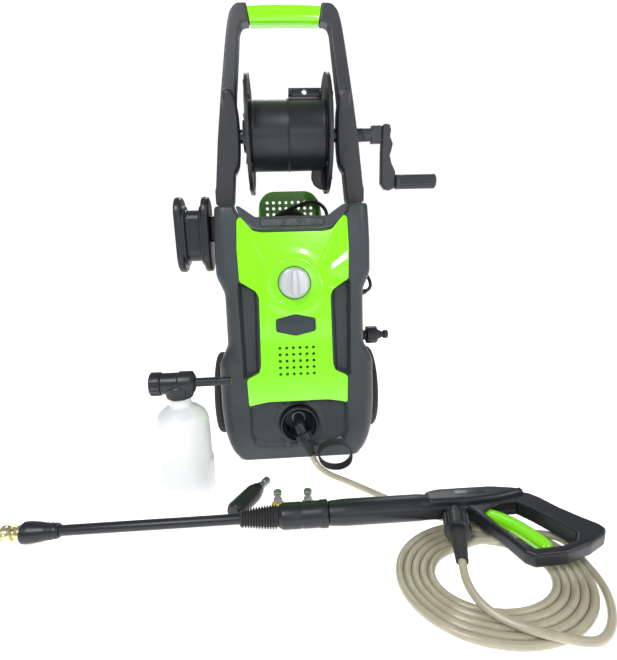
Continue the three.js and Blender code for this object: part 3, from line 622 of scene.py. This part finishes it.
# ---- moulded body
BODY_TOP, SPLIT_Y, AXLE_Y, WHEEL_R = 514.0, -32.0, 40.0, 94.0
WALL, LAYER, SEAM = 3.5, 3.2, 0.25
OUTLET_Z, KNOB_Z = 80, 366
INLET_AT, GLAND_AT, AXLE_AT = (0, -12, 233), (0, 8, 322), (0, AXLE_Y, WHEEL_R)
FRONT = [(0, -116), (22, -124), (60, -126), (130, -122), (190, -112), (250, -103), (340, -95),
         (400, -86), (466, -80), (500, -77), (520, -70)]  # (z, y)
BACK = [(0, 70), (60, 78), (205, 74), (260, 58), (340, 43), (505, 40), (520, -40)]
HALF = [(1, 126), (8, 133), (20, 139.5), (44, 147), (74, 153), (120, 156), (206, 156), (238, 138),
        (346, 138), (380, 153.4), (440, 153.4), (514, 150)]
CHANNEL = [(76, 352), (79, 190), (106, 178), (109, 366)]
BAY = [(-100, 122), (-101, 60), (-92, 40), (-70, 30), (70, 30), (92, 40), (101, 60), (100, 122),
       (86, 126), (60, 131), (-60, 131), (-86, 126)]


def front_y(z):
    return soft_interp(FRONT, z, 16)


def edge_distance(outline, x, z):
    """Distance from (x, z) to the outline, positive inside."""
    inside, best = False, 1e9
    for (x0, z0), (x1, z1) in zip(outline, outline[1:] + outline[:1]):
        if (z0 > z) != (z1 > z) and x < x0 + (x1 - x0) * (z - z0) / (z1 - z0):
            inside = not inside
        dx, dz = x1 - x0, z1 - z0
        t = min(1, max(0, ((x - x0) * dx + (z - z0) * dz) / (dx * dx + dz * dz)))
        best = min(best, math.hypot(x - x0 - t * dx, z - z0 - t * dz))
    return best if inside else -best


def hollow(x, z, grow):
    """How far the front face is pressed in at (x, z)."""
    depth = 16 * smoothstep(-3 - grow, 4.5 - grow, edge_distance(CHANNEL, abs(x), z))
    if z < 150:
        depth = max(depth, 10 * smoothstep(-2 - grow, 9 - grow, edge_distance(BAY, x, z)))
        lip = math.hypot(x, z - OUTLET_Z) - 44
        depth -= 4 * (1 - smoothstep(2.5, 8, abs(lip)))
    return depth


def body_ring(z, inward):
    """Points round the body at one height, moved inwards, starting at the front left."""
    half = soft_interp(HALF, z, 7) - inward
    near = front_y(z) + inward
    far = soft_interp(BACK, z, 18) - inward
    corner = max(3.0, 22.0 - inward)
    right, low, high = half - corner, near + corner, far - corner

    def bend(x, y, start):
        turns = [rad(start + 90 * i / 13) for i in range(1, 13)]
        return [(x + corner * math.cos(t), y + corner * math.sin(t), z) for t in turns]

    ring = [(x, near + hollow(x, z, inward), z) for x in spread(-right, right, 150)]
    ring += bend(right, low, -90)
    ring += [(half, y, z) for y in spread(low, high, 16)]
    ring += bend(right, high, 0)
    ring += [(x, far, z) for x in spread(right, -right, 32)]
    ring += bend(-right, high, 90)
    ring += [(-half, y, z) for y in spread(high, low, 16)]
    return ring + bend(-right, low, 180)


def body_solid(name, inward, bottom, top):
    """The body's closed outside, or its inside when moved inwards, with a rounded top rim."""
    levels = [(bottom, inward)]
    z = bottom + LAYER
    while z < top - 7:
        levels.append((z, inward))
        z += LAYER
    levels += [(top - 6, inward), (top - 3.2, inward + 0.8), (top - 1.2, inward + 2.4),
               (top, inward + 5.5)]
    rings = [body_ring(z, inset) for z, inset in levels]
    return make(name, sum(rings, []), ring_faces(len(rings), len(rings[0])))


def valley(drop):
    """Cutter for the lowered middle of the body's top."""
    right = [(60, 468), (80, 470), (104, 490), (114, 507), (115.5, 516), (115.5, 560)]
    line = rounded_outline([(x, z - drop) for x, z in mirrored(right)], 10)
    return prism("valley", line, -160, 160, 0, ALONG_Y)


def wells(grow):
    return [rod("well", WHEEL_R + 9 + grow, 134 - grow, 220, AXLE_AT, (s, 0, 0), 96) for s in (-1, 1)]


def louvre(x, z):
    """Cutter for one slot with round ends in the rear shell."""
    width, height = 42, 4.2
    box = [(x, z), (x + width, z), (x + width, z + height), (x, z + height)]
    return prism("louvre", rounded_outline(box, height / 2 - 0.01, 5), -110, -20, 0, ALONG_Y)


outer = boolean(body_solid("outer", 0, 1.5, BODY_TOP), [valley(0), *wells(0)])
inner = boolean(body_solid("inner", WALL, 0, BODY_TOP - WALL), [valley(WALL), *wells(WALL)])
openings = [inner, rod("mouth", 38.4, 90, 150, (0, 0, OUTLET_Z), FRONTWARDS, 96),
            rod("shaft", 9, 60, 150, (0, 0, KNOB_Z), FRONTWARDS, 32),
            rod("inlet", 12, 115, 180, INLET_AT, X_AXIS, 32),
            rod("gland", 11, 115, 180, GLAND_AT, X_AXIS, 32),
            rod("axle", 7, -180, 180, AXLE_AT, X_AXIS, 32)]
openings += [block("socket", (x, -19, 480), (x + 29.6, 29, 560)) for x in (-146, 116.4)]
openings += [louvre(x, z) for x in (-108, 66) for z in range(228, 320, 11)]
shell = boolean(outer, openings)


def half_of(name, y0, y1):
    copy = link(bpy.data.objects.new(name, shell.data.copy()))
    return boolean(copy, [block("half", (-250, y0, -20), (250, y1, 700))], "INTERSECT", 30)


PANEL = mirrored([(60, 132), (88, 127), (99, 124), (101, 178), (76, 190), (72, 204), (70, 340),
                  (76, 352), (107, 371), (109, 430), (106, 488), (99, 493), (88, 480), (76, 466),
                  (60, 463)])


def grown(outline, d):
    """Moves a counter-clockwise outline outwards by d."""
    out = []
    for i, p in enumerate(outline):
        a, b = outline[i - 1], outline[(i + 1) % len(outline)]
        u = Vector((p[1] - a[1], a[0] - p[0])).normalized()
        v = Vector((b[1] - p[1], p[0] - b[0])).normalized()
        k = d / (1 + u.dot(v))
        out.append((p[0] + k * (u.x + v.x), p[1] + k * (u.y + v.y)))
    return out


# ---- green front panel
def crown(x, z):
    """Fall of the panel to its sides and beyond its creases, with a ring round the knob."""
    crease = interp([(340, 58), (395, 46), (478, 90), (500, 96)], z)
    wing = max(0.0, abs(x) - crease) * smoothstep(352, 390, z)
    dish = math.hypot(x, z - KNOB_Z) - 56
    return 0.5 * (x / 110) ** 2 + 3.3 * (1 - math.exp(-wing / 11)) - 0.8 * math.exp(-(dish / 7) ** 2)


def front_slab(name, near, far, shaped):
    """Closed slab that follows the front of the body, from near to far in front of it."""
    xs, zs = spread(-130, 130, 86), spread(110, 505, 131)
    nx, nz = len(xs) - 1, len(zs) - 1
    verts = [(x, front_y(z) - depth + (crown(x, z) if curved else 0), z)
             for depth, curved in ((near, False), (far, shaped)) for z in zs for x in xs]
    faces = []
    row, layer = nx + 1, (nx + 1) * (nz + 1)
    for j in range(nz):
        for i in range(nx):
            a = j * row + i
            faces.append((a, a + 1, a + row + 1, a + row))
            faces.append((layer + a, layer + a + row, layer + a + row + 1, layer + a + 1))
    for j in range(nz):
        for a in (j * row, j * row + nx):
            faces.append((a, a + row, layer + a + row, layer + a))
    for i in range(nx):
        for a in (i, nz * row + i):
            faces.append((a, a + 1, layer + a + 1, layer + a))
    return make(name, verts, faces)


def on_front(name, outline, near, far, bevel=0.0, corner=0.0, holes=(), shaped=True):
    """Piece of the front slab with an (x, z) outline."""
    cutter = prism("cutter", rounded_outline(outline, corner), 0, 200, 0, ALONG_Y)
    slab = boolean(front_slab(name, near, far, shaped), [cutter], "INTERSECT", 30)
    if holes:
        slab = boolean(slab, holes, "DIFFERENCE", 30)
    if bevel:
        soften_edges(slab, bevel, 3, 40)
    return slab


front = half_of("front", -250, SPLIT_Y - SEAM)
groove = on_front("groove", grown(PANEL, 1.3), -2.2, 4, 0, 5, shaped=False)
stand_in(boolean(front, [groove]), "front_shell", "dark_shell")
stand_in(half_of("rear", SPLIT_Y + SEAM, 250), "rear_shell", "dark_shell")
bpy.data.objects.remove(shell)
vents = [rod("vent", 3.1, 60, 180, (-33.5 + 13.4 * i, 0, 186 + 13 * j), FRONTWARDS, 20)
         for i in range(6) for j in range(5)]
shaft_hole = rod("shaft", 9, 60, 180, (0, 0, KNOB_Z), FRONTWARDS, 32)
stand_in(on_front("panel", PANEL, -1.9, 4.5, 1.0, 5, [*vents, shaft_hole]), "green_panel")
KNOB_TILT = rad(8.5)
KNOB = aim((0, -96.3, KNOB_Z), (0, -math.cos(KNOB_TILT), math.sin(KNOB_TILT)))
ring = lathe("ring", [(44.4, -2.6), (48.4, -2.6), (48.0, 0.2), (44.8, 0.2)], KNOB, 96, 0.5,
             closed=True)
extra(ring, "knob_ring", "machine", "green_gloss")
sticker = on_front("sticker", [(73.5, 389), (74.5, 400), (106.5, 425), (106, 409)], 0.6, 4.75, 0, 1.5)
extra(sticker, "panel_sticker", "machine", "sticker_white")
HEXAGON = [(-39, 296), (-39, 272), (0, 263), (39, 272), (39, 296), (0, 305)]
HEXAGON_Z = 284
stand_in(on_front("badge", HEXAGON, 3.5, 6.6, 0.7, 4, shaped=False), "badge_plate")
inside = [(x * 0.93, HEXAGON_Z + (z - HEXAGON_Z) * 0.90) for x, z in HEXAGON]
rim = on_front("rim", HEXAGON, 3.5, 7.1, 0.4, 4, [prism("core", inside, 0, 200, 0, ALONG_Y)],
               shaped=False)
extra(rim, "badge_rim", "machine", "black_plastic")

# ---- turned pieces
REEL = Vector((0, 5, 648))


def fins(count, depth, low, high):
    """Ribbed outside: narrow grooves over part of the height."""
    def shape(r, h, t):
        if r < 8 or not low <= h <= high:
            return r
        wave = 0.5 + 0.5 * math.cos(count * t)
        return r - depth * (1 - smoothstep(0.15, 0.5, wave))
    return shape


def tread(r, h, t):
    """Tyre blocks: cross grooves cut into the rolling face."""
    if r < 88:
        return r
    wave = math.cos(36 * t + (1.2 if h > 19 else -1.2))
    return r - 1.6 * smoothstep(0.80, 0.97, wave)


def wheel(side, name):
    matrix = aim((side * 142, AXLE_Y, WHEEL_R), (side, 0, 0))
    tyre = [(74, 0.4), (80, 0), (88, 0.6), (92.5, 4), (94, 8), (94, 13), (92.6, 14), (92.6, 17),
            (94, 18), (94, 20), (92.6, 21), (92.6, 24), (94, 25), (94, 30), (92.5, 34),
            (88, 37.4), (80, 38), (74, 37.6)]
    turned("tyre_" + name, tyre, matrix, 288, 0.8, tread, closed=True)
    hub = [(6.4, 2), (20, 2), (20, 12), (62, 14), (66, 3), (73.7, 3), (73.7, 35), (70, 36.5),
           (66, 35), (62, 24), (24, 28), (22, 35), (16, 37), (6.4, 37)]
    ribs = [prism("rib", [(21, -5), (64, -9), (64, 9), (21, 5)], 20, 31, 1.2,
                  matrix @ Matrix.Rotation(rad(60 * k), 4, "Z"), corner=2) for k in range(6)]
    body = lathe("hub", hub, matrix, 96, 1.6, closed=True)
    stand_in(joined("hub", [body, *ribs]), "wheel_hub_" + name)


def flange(side, name):
    """Side of the reel: turned disc, four studs on its inner face and eight raised spokes."""
    matrix = aim(REEL, (side, 0, 0))
    disc = [(13.8, 74.3), (108, 74.3), (108, 72.3), (113, 72.3), (113, 79.3), (106, 79.3),
            (104, 77.6), (90, 77.6), (88, 79.3), (34, 79.3), (30, 89), (13.8, 89)]
    parts = [lathe("flange", disc, matrix, 160, 0.8, closed=True)]
    for k in range(4):
        a = rad(45 + 90 * k)
        at = REEL + Vector((side * 72.9, 84 * math.cos(a), 84 * math.sin(a)))
        parts.append(lathe("stud", [(0, -1), (4.5, -1), (4.5, 2.2), (2.5, 2.6), (2.2, 1.4), (0, 1.4)],
                           aim(at, (-side, 0, 0)), 24, 0.3))
    for k in range(8):
        parts.append(prism("spoke", [(32, -2.2), (106, -2.2), (106, 2.2), (32, 2.2)], 77, 81.5, 0.8,
                           matrix @ Matrix.Rotation(rad(45 * k + 11), 4, "Z"), corner=1))
    stand_in(joined("flange", parts), "reel_flange_" + name)


for side, name in SIDES:
    wheel(side, name)
turned("wheel_axle", [(0, -186), (6, -186), (6, 186), (0, 186)], aim(AXLE_AT, X_AXIS), 40, 1.0)
drum = [(0, -108), (13.4, -108), (13.4, -73), (67, -74), (67, -71), (68, -70), (68, -67), (67, -66),
        (67, -1.6), (68.6, -1), (68.6, 1), (67, 1.6), (67, 66), (68, 67), (68, 70), (67, 71), (67, 74),
        (13.4, 73), (13.4, 150), (0, 150)]
turned("reel_drum", drum, aim(REEL, X_AXIS), 160, 0.7)
for side, name in SIDES:
    flange(side, name)

# ---- power knob
skirt = lathe("skirt", [(0, 0), (29.4, 0), (30.4, 1), (30.4, 6.5), (29.2, 8), (28.6, 9), (26.8, 12.8),
                        (25.2, 13.4), (0, 13.4)], KNOB, 192, 0.8, fins(48, 0.35, 1.5, 7.5))
# painted shade: a thin black ring round the knob's skirt, standing in for the shaded gap of the knob's
# recess in the panel
recess_shade = lathe("recess_shade", [(29, -2.5), (32.4, -2.5), (32.2, 1.4), (31, 1.4), (30.9, -1.5), (29, -1.5)],
              KNOB, 96, 0.3, closed=True)
extra(recess_shade, "knob_recess_shade", "machine", "black_plastic")
up = KNOB.to_3x3().inverted() @ Vector((0, 0, 1))
upright = KNOB @ Matrix.Rotation(math.atan2(up.y, up.x) - rad(90), 4, "Z")
bar = prism("bar", [(-5, -24.5), (5, -24.5), (7, 0), (5, 24.5), (-5, 24.5), (-7, 0)], 10, 22, 2.0,
            upright, corner=3)
stand_in(joined("knob", [skirt, bar]), "power_knob")

# ---- hose outlet
OUTLET = aim((0, 0, OUTLET_Z), FRONTWARDS)
HOSE_END = aim((0, -134, OUTLET_Z), (0.36, -0.42, -0.833))
turned("outlet_cup", [(33.6, 118), (38, 118), (38, 129), (36.6, 130.4), (34.4, 130), (33, 122), (29, 118),
                      (29, 96), (14.5, 96), (14.5, 92.5), (33.6, 92.5)], OUTLET, 96, 1.0, closed=True)
socket = [(0, 92.3), (11, 92.3), (11, 132), (8, 139), (4, 144), (0, 145)]
spigot = [(0, -4), (10.6, -4), (10.6, 15), (0, 15)]
stand_in(joined("fit", [lathe("socket", socket, OUTLET, 48, 1.0),
                        lathe("spigot", spigot, HOSE_END, 48, 0.8)]), "outlet_fitting")
turned("outlet_nut", [(0, 15.3), (15, 15.3), (16.5, 17), (16.5, 31), (15, 33), (0, 33)], HOSE_END, 216,
       0.6, fins(18, 1.5, 17, 31))
RELIEF_START, RELIEF_LENGTH, RELIEF_RINGS = 33.3, 28.7, 4
pitch = (RELIEF_LENGTH - 12) / RELIEF_RINGS
line = [(0, RELIEF_START), (11, RELIEF_START), (11, RELIEF_START + 7)]
for i in range(RELIEF_RINGS):
    r, h = 11 - 3 * i / RELIEF_RINGS, RELIEF_START + 8 + pitch * i
    line += [(r, h), (r, h + pitch * 0.55), (r - 1.8, h + pitch * 0.62), (r - 1.8, h + pitch * 0.93)]
end = RELIEF_START + RELIEF_LENGTH
turned("outlet_relief", [*line, (8, end - 3.8), (8, end), (0, end)], HOSE_END, 48, 0.4)

# ---- water inlet and cord gland
turned("inlet_coupler", [(0, 143.4), (11, 143.4), (11, 157), (17.6, 157), (19, 158.5), (19, 179),
                         (17.6, 181), (12, 181), (12, 184), (9.5, 184), (9.5, 189), (7, 191), (7, 195),
                         (9.5, 197), (9.5, 204), (7.5, 206), (0, 206)], aim(INLET_AT, X_AXIS),
       192, 0.5, fins(16, 1.3, 159.5, 178))
base = [(0, 128), (10, 128), (10, 138.6), (14, 138.6), (14, 142), (10, 146), (0, 147)]
sleeve = [(0, 0), (9, 0), (8.6, 5), (8.1, 8), (6.6, 8.6), (6.6, 10.4), (7.7, 11), (7.3, 14),
          (5.8, 14.6), (5.8, 16.4), (6.8, 17), (6.4, 20), (5.2, 20.6), (5.2, 22.4), (6, 23), (5.6, 27),
          (0, 27)]
gland = [lathe("base", base, aim(GLAND_AT, X_AXIS), 48, 0.8),
         lathe("sleeve", sleeve, aim(Vector(GLAND_AT) + Vector((140, 0, 0)), (0.82, 0.56, 0.1)), 48, 0.4)]
stand_in(joined("gland", gland), "cord_gland")

# ---- crank grip
GRIP_AT = REEL + Vector((188, 0, -92))
turned("crank_grip", [(5.5, 31), (13, 31), (15, 33), (15, 37), (14.6, 38), (14.6, 110), (15, 111),
                      (15, 114), (12.5, 116), (0, 116), (0, 111), (5.5, 111)], aim(GRIP_AT, X_AXIS),
       192, 0.5, fins(16, 1.3, 38, 110), closed=True, look="handle_grey")

# ---- spray gun and lance
GUN = (Matrix.Translation((180, -352, 35.4)) @ Matrix.Rotation(rad(-2.1), 4, "Z")
       @ Matrix.Rotation(rad(-1.65), 4, "Y") @ Matrix.Translation((-180, 0, 0)))
LANCE = GUN @ aim((0, 0, 0), X_AXIS)
TIP = LANCE @ Matrix.Translation((0, 0, -482))
INLET = GUN @ aim((236, 0, 0), (-0.242, -0.97, 0))
turned("lance_fore_tube", [(0, -44), (17, -44), (20, -38.5), (20.5, -36), (20.5, -10), (19.7, -9),
                           (19.7, -7), (20.5, -6), (20.5, 20), (21.5, 22), (21.5, 33), (19, 34.7),
                           (0, 34.7)], LANCE, 96, 0.7, fins(24, 0.9, 23, 32.5))
line = [(8.6, -106), (11, -106), (12, -104.5)]
for i in range(13):
    h, r = -103 + 4.4 * i, 12.8 + 5.6 * smoothstep(-3, 12, i)
    line += [(r, h + 0.4), (r, h + 1.8), (r - 3, h + 2.5), (r - 3, h + 3.9)]
line += [(16, -45.4), (16, -44.3), (8.6, -44.3)]
turned("lance_bellows", line, LANCE, 72, 0.6, closed=True)
turned("lance_tube", [(0, 92), (8.3, 92), (8.3, 437.6), (0, 437.6)], TIP, 48, 0.5)
turned("lance_coupling", [(0, 34), (15.5, 34), (17, 36), (17, 46), (15.6, 58), (13.4, 70), (13.4, 73),
                          (12.2, 73.6), (12.2, 76), (13, 76.6), (13, 79.4), (11.6, 80), (11.6, 82.4),
                          (12.4, 83), (12, 88), (10, 91.7), (0, 91.7)], TIP, 96, 0.5)
turned("quick_connect", [(5.6, 0), (9, 0), (9, 27), (12.5, 27), (12.5, 33.7), (5.6, 33.7)], TIP, 64, 0.7,
       closed=True)
turned("quick_sleeve", [(9.4, 1), (12, 1), (13.2, 3), (13.2, 9), (12, 11), (12, 17), (13.2, 19),
                        (9.4, 19)], TIP, 144, 0.5, fins(36, 0.4, 3, 9), closed=True)
turned("gun_nut", [(0, 30.3), (17.6, 30.3), (19.5, 32.5), (19.5, 63.5), (18, 66), (0, 66)], INLET, 240,
       0.7, fins(20, 1.6, 33, 63))
line = [(0, 66.3), (12, 66.3), (12, 75)]
for i in range(7):
    r, h = 11.6 - 3 * (i + 0.5) / 7, 76 + 6 * i
    line += [(r, h), (r - 0.2, h + 4.2), (r - 0.9, h + 4.5), (r - 0.9, h + 5.5)]
turned("gun_relief", [*line, (8.4, 118.6), (8.4, 122.3), (0, 122.3)], INLET, 56, 0.4)

# ---- handle
def handle_leg(side, name):
    """Leaning leg with a pad beside the reel, a bore for the axle and a stub inside the grip."""
    right = [(117, 484), (145, 484), (145.6, 516.5), (150.6, 517), (150.6, 546), (148.6, 550),
             (139, 640), (128, 720), (115, 812), (109, 848), (103, 870), (92, 883.4), (73, 883.4),
             (71.2, 883.4), (70.8, 881.8), (67.5, 853), (67.6, 851.4), (69.4, 851), (82, 849),
             (87, 838), (92, 790), (99, 726), (105, 650), (110.5, 570), (115.6, 518), (117, 516.5)]
    bulge = [(125, 570), (110, 572), (100, 590), (96.6, 622), (95.8, 655), (96.8, 690), (101, 716),
             (110, 730), (122, 730)]
    if side < 0:
        right, bulge = flipped(right), flipped(bulge)
    lean = [(-18, 484), (28, 484), (34, 700), (40, 884), (6, 884), (-14, 700)]
    leg = boolean(prism("leg", rounded_outline(right, 9, 5), -44, 20, 0, ALONG_Y),
                  [prism("lean", lean, -200, 200, 0, ALONG_X)], "INTERSECT")
    leg = boolean(leg, [prism("pad", bulge, -25, 15, 4, ALONG_Y, corner=14)], "UNION")
    leg = boolean(leg, [rod("stub", 13, 52, 80, (0, 23, 866.5), (side, 0, 0), 48)], "UNION")
    leg = boolean(leg, [rod("bore", 14, 80, 190, REEL, (side, 0, 0), 64)])
    stand_in(solid_of(melt(leg, 1.6, 10)), "handle_leg_" + name, "handle_grey")


for side, name in SIDES:
    handle_leg(side, name)


GRIP_HALF, GRIP_SPANS, GRIP_SIDES = 68.4, 40, 48


def grip_ring(x):
    """Rounded section of the arched handle grip at x."""
    rise = 2.6 * (1 - (x / 72) ** 2)
    out = []
    for k in range(GRIP_SIDES):
        t = 2 * math.pi * k / GRIP_SIDES
        y = 23 + 19 * signed_power(math.cos(t), 0.8)
        z = 864.8 + rise * 0.5 + (16.6 + 0.3 * rise) * signed_power(math.sin(t), 0.6)
        out.append((x * (1 + (z - 866) * 0.0023), y, min(z, 883.9)))
    return out


rings = [grip_ring(x) for x in spread(-GRIP_HALF, GRIP_HALF, GRIP_SPANS)]
grip = make("grip", sum(rings, []), ring_faces(GRIP_SPANS + 1, GRIP_SIDES))
stand_in(soften_edges(grip, 0.8), "handle_grip")

# ---- hose end clip and fin on the reel
CLIP_Z = 718.4
arch = [(-6, 0), (-6, 7), (-3.5, 8), (-3.5, 11), (0, 12), (0, 16.8), (10, 16.8), (10, 12), (13.5, 11),
        (13.5, 8), (16, 7), (16, 0)]
cheek = [(-11, 0), (-11, 9), (0, 14), (10, 14), (21, 9), (21, 0)]
lifted = Matrix.Translation((0, 0, CLIP_Z)) @ ALONG_X
clip = boolean(prism("clip", arch, 3, 68, 0.9, lifted, corner=1.5),
               [prism("cheek", cheek, x, x + 5, 0.9, lifted, corner=4) for x in (3, 63)], "UNION")
stand_in(boolean(clip, [rod("hole", 5.6, -40, 40, (34, 5, CLIP_Z + 8.6), Y_AXIS, 48)]), "hose_clip")
fin = [(74.2, 584), (46, 584), (44, 566), (50, 552), (62, 544), (74.2, 542)]
extra(prism("fin", fin, -9, -1, 1.2, ALONG_Y, corner=5), "reel_fin", "reel", "black_plastic")

# ---- gun trigger
def sweep(name, spine, matrix):
    """Solid along a spine of (x, y, half width, half thickness) points, ends rounded."""
    sides, power = 32, 0.8
    line = smooth_path([(x, y, w) for x, y, w, t in spine], 2.0)
    thick = [(i / (len(spine) - 1), p[3]) for i, p in enumerate(spine)]
    total, done, verts = length_of(line), 0.0, []
    for i, p in enumerate(line):
        if i:
            done += (p - line[i - 1]).length
        ahead = line[min(i + 1, len(line) - 1)] - line[max(i - 1, 0)]
        side = Vector((-ahead.y, ahead.x)).normalized()
        near_end = min(done, total - done)
        cap = math.sqrt(max(0.0, 1 - (1 - min(1.0, near_end / 7)) ** 2))
        w, t = max(0.05, p.z * cap), max(0.05, interp(thick, done / total) * cap)
        for k in range(sides):
            turn = 2 * math.pi * k / sides
            across = w * signed_power(math.cos(turn), power)
            verts.append((p.x + side.x * across, p.y + side.y * across,
                          t * signed_power(math.sin(turn), power)))
    return make(name, verts, ring_faces(len(line), sides), matrix)


trigger = sweep("trigger", [(265, -23, 6, 7), (278, -28, 10, 7.6), (294, -41, 11.5, 8),
                            (308, -59, 12, 8.4), (319, -79, 12, 8.4), (327, -97, 11.5, 8),
                            (332, -110, 8, 7)], GUN)
stand_in(trigger, "gun_trigger")
spine = [(190, -13), (262, -15), (302, -11), (338, -2), (352, 4), (338, 12), (300, 20), (212, 20.5),
         (190, 14)]
spine = prism("spine", spine, 4, 19.8, 6.5, GUN, corner=9, segments=5)
extra(spine, "gun_spine", "machine", "black_plastic")
plate = [prism("label", [(238, -1), (286, -1), (286, 10), (238, 10)], 19.2, 20.3, 0.3, GUN, corner=2),
         prism("face", [(240, 0.6), (284, 0.6), (284, 8.4), (240, 8.4)], 20.2, 20.6, 0.15, GUN,
               corner=1)]
extra(joined("plate", plate), "gun_label", "machine", "badge_grey")

# ---- loose accessories
BOTTLE = Vector((-213, -207, 0))
HEAD = BOTTLE + Vector((0, 0, 211))
turned("foam_bottle", [(0, 2), (30, 2), (36, 0), (45, 0), (50, 5), (50, 62), (48.4, 68), (47.6, 74),
                       (47.4, 126), (46.6, 142), (41.5, 155), (30, 165), (20.5, 170), (19, 173),
                       (19, 186), (0, 186)], Matrix.Translation(BOTTLE), 128, 3.0)
cap = [(0, -24.7), (23, -24.7), (24, -22), (24, -4), (20, 0), (0, 0)]
barrel = [(0, -29), (19, -29), (19, 0), (21, 2), (21, 24), (15, 28), (8, 30), (8, 66), (6.5, 68),
          (6.5, 74), (8, 76), (8, 92), (0, 92)]
head = [lathe("cap", cap, Matrix.Translation(HEAD), 192, 0.8, fins(24, 1.2, -22, -5)),
        lathe("barrel", barrel, aim(HEAD, X_AXIS), 96, 0.8, fins(24, 0.9, 4, 22))]
stand_in(joined("head", head), "foam_head")
turned("foam_dial", [(0, 29.3), (19.5, 29.3), (21, 31), (21, 47), (18, 49), (0, 49)],
       aim(HEAD, (-1, 0, 0)), 192, 0.7, fins(18, 1.5, 31, 47))
TURBO = Matrix.Translation((-121, -309, 15.5)) @ Matrix.Rotation(rad(59), 4, "Z") @ aim((0, 0, 0), X_AXIS)
turned("turbo_nozzle", [(0, 0), (12, 0), (15.5, 6), (15.5, 60), (11.5, 76), (8, 78), (0, 78)], TURBO,
       120, 1.0, fins(15, 0.9, 8, 40))
stem = [(0, 77), (8, 77.2), (8, 86), (5.5, 88), (5.5, 93), (7, 95), (7, 107), (0, 107)]
extra(lathe("stem", stem, TURBO, 48, 0.5), "turbo_stem", "turbo_nozzle", "steel")
for name, x, y in (("nozzle_yellow", -46, -294), ("nozzle_green", 5, -296)):
    at = Matrix.Translation((x, y, 0))
    turned(name, [(0, 0), (9, 0), (11.5, 3), (11.5, 17), (8, 21), (7.2, 21.6), (0, 21.6)], at, 120, 0.8,
           fins(12, 0.8, 4, 16))
    pin = [(0, 21), (7, 21.2), (7, 27), (5.4, 29), (5.4, 33), (7, 35), (7, 41), (6, 42), (0, 42)]
    extra(lathe("pin", pin, at, 48, 0.4), name + "_stem", name, "steel")

# ---- webbing loop beside the hose
strap_line = smooth_path([(33, 34, 0), (40, 47, 0), (56, 56.5, 0), (76, 58, 0), (93, 51, 0),
                          (101.5, 34, 0), (99, 15, 0), (86, 3.6, 0), (69, 0.8, 0), (50, 6, 0),
                          (38, 18, 0), (33, 34, 0)], 2.5)[:-1]
middle = sum(strap_line, Vector()) / len(strap_line)
inside = [middle + (p - middle) * (1 - 2.2 / (p - middle).length) for p in strap_line]
strap = prism("strap", [(p.x, p.y) for p in strap_line], 152, 174, 0.5, ALONG_Y,
              [[(p.x, p.y) for p in inside]])
stand_in(strap, "hose_strap")

# ---- kept nodes: finer edges, finishes
ROUNDED = {"gun_body": 1.3, "crank_arm": 1.0, "crank_hub": 1.0, "cord_wrap": 1.4, "top_bridge": 1.2}
LOOKS = {"cord_basket": "green_leaf", "crank_arm": "handle_grey", "crank_hub": "handle_grey"}
for node_name, obj in NODES.items():
    paint(obj, LOOKS.get(node_name, SLOT_OF[node_name]))
    if node_name in ROUNDED:
        melt(obj, ROUNDED[node_name], 8)

# ---- floor, light and picture
material("floor", (0.80, 0.80, 0.80), 0.7, bump=0.0, mottle=0.005, wear_and_highlight=0.0, specular=0.0, glow=0.86)
ground = bpy.data.meshes.new("floor")
ground.from_pydata([(-12, -6, 0), (12, -6, 0), (12, 14, 0), (-12, 14, 0)], [], [(0, 1, 2, 3)])
floor = link(bpy.data.objects.new("floor", ground))
paint(floor, "floor")
world = bpy.data.worlds.new("studio")
SCENE.world = world
world.use_nodes = True
sky = world.node_tree.nodes["Background"]
sky.inputs["Color"].default_value = (1, 1, 1, 1)
seen = world.node_tree.nodes.new("ShaderNodeLightPath")  # white behind, softer as a light
level = world.node_tree.nodes.new("ShaderNodeMapRange")
level.inputs["To Min"].default_value, level.inputs["To Max"].default_value = 0.27, 1.05
world.node_tree.links.new(seen.outputs["Is Camera Ray"], level.inputs["Value"])
world.node_tree.links.new(level.outputs["Result"], sky.inputs["Strength"])


def lamp(name, at, toward, size, power):
    data = bpy.data.lights.new(name, "AREA")
    data.shape, data.size, data.size_y, data.energy = "RECTANGLE", size[0], size[1], power
    obj = link(bpy.data.objects.new(name, data))
    away = Vector(at) - Vector(toward)
    obj.matrix_world = Matrix.Translation(Vector(at)) @ away.to_track_quat("Z", "Y").to_matrix().to_4x4()


lamp("key", (-1.1, -1.9, 2.5), (0, 0, 0.4), (0.9, 0.9), 48)
lamp("fill", (1.9, -1.5, 1.7), (0, 0, 0.4), (0.7, 1.6), 20)
lamp("back", (0.4, 2.2, 2.2), (0, 0, 0.5), (1.6, 1.2), 26)
lamp("spark", (0.27, -2.5, 1.0), (0.05, -0.09, 0.44), (0.10, 0.07), 5)
SCENE.view_settings.view_transform = "Standard"
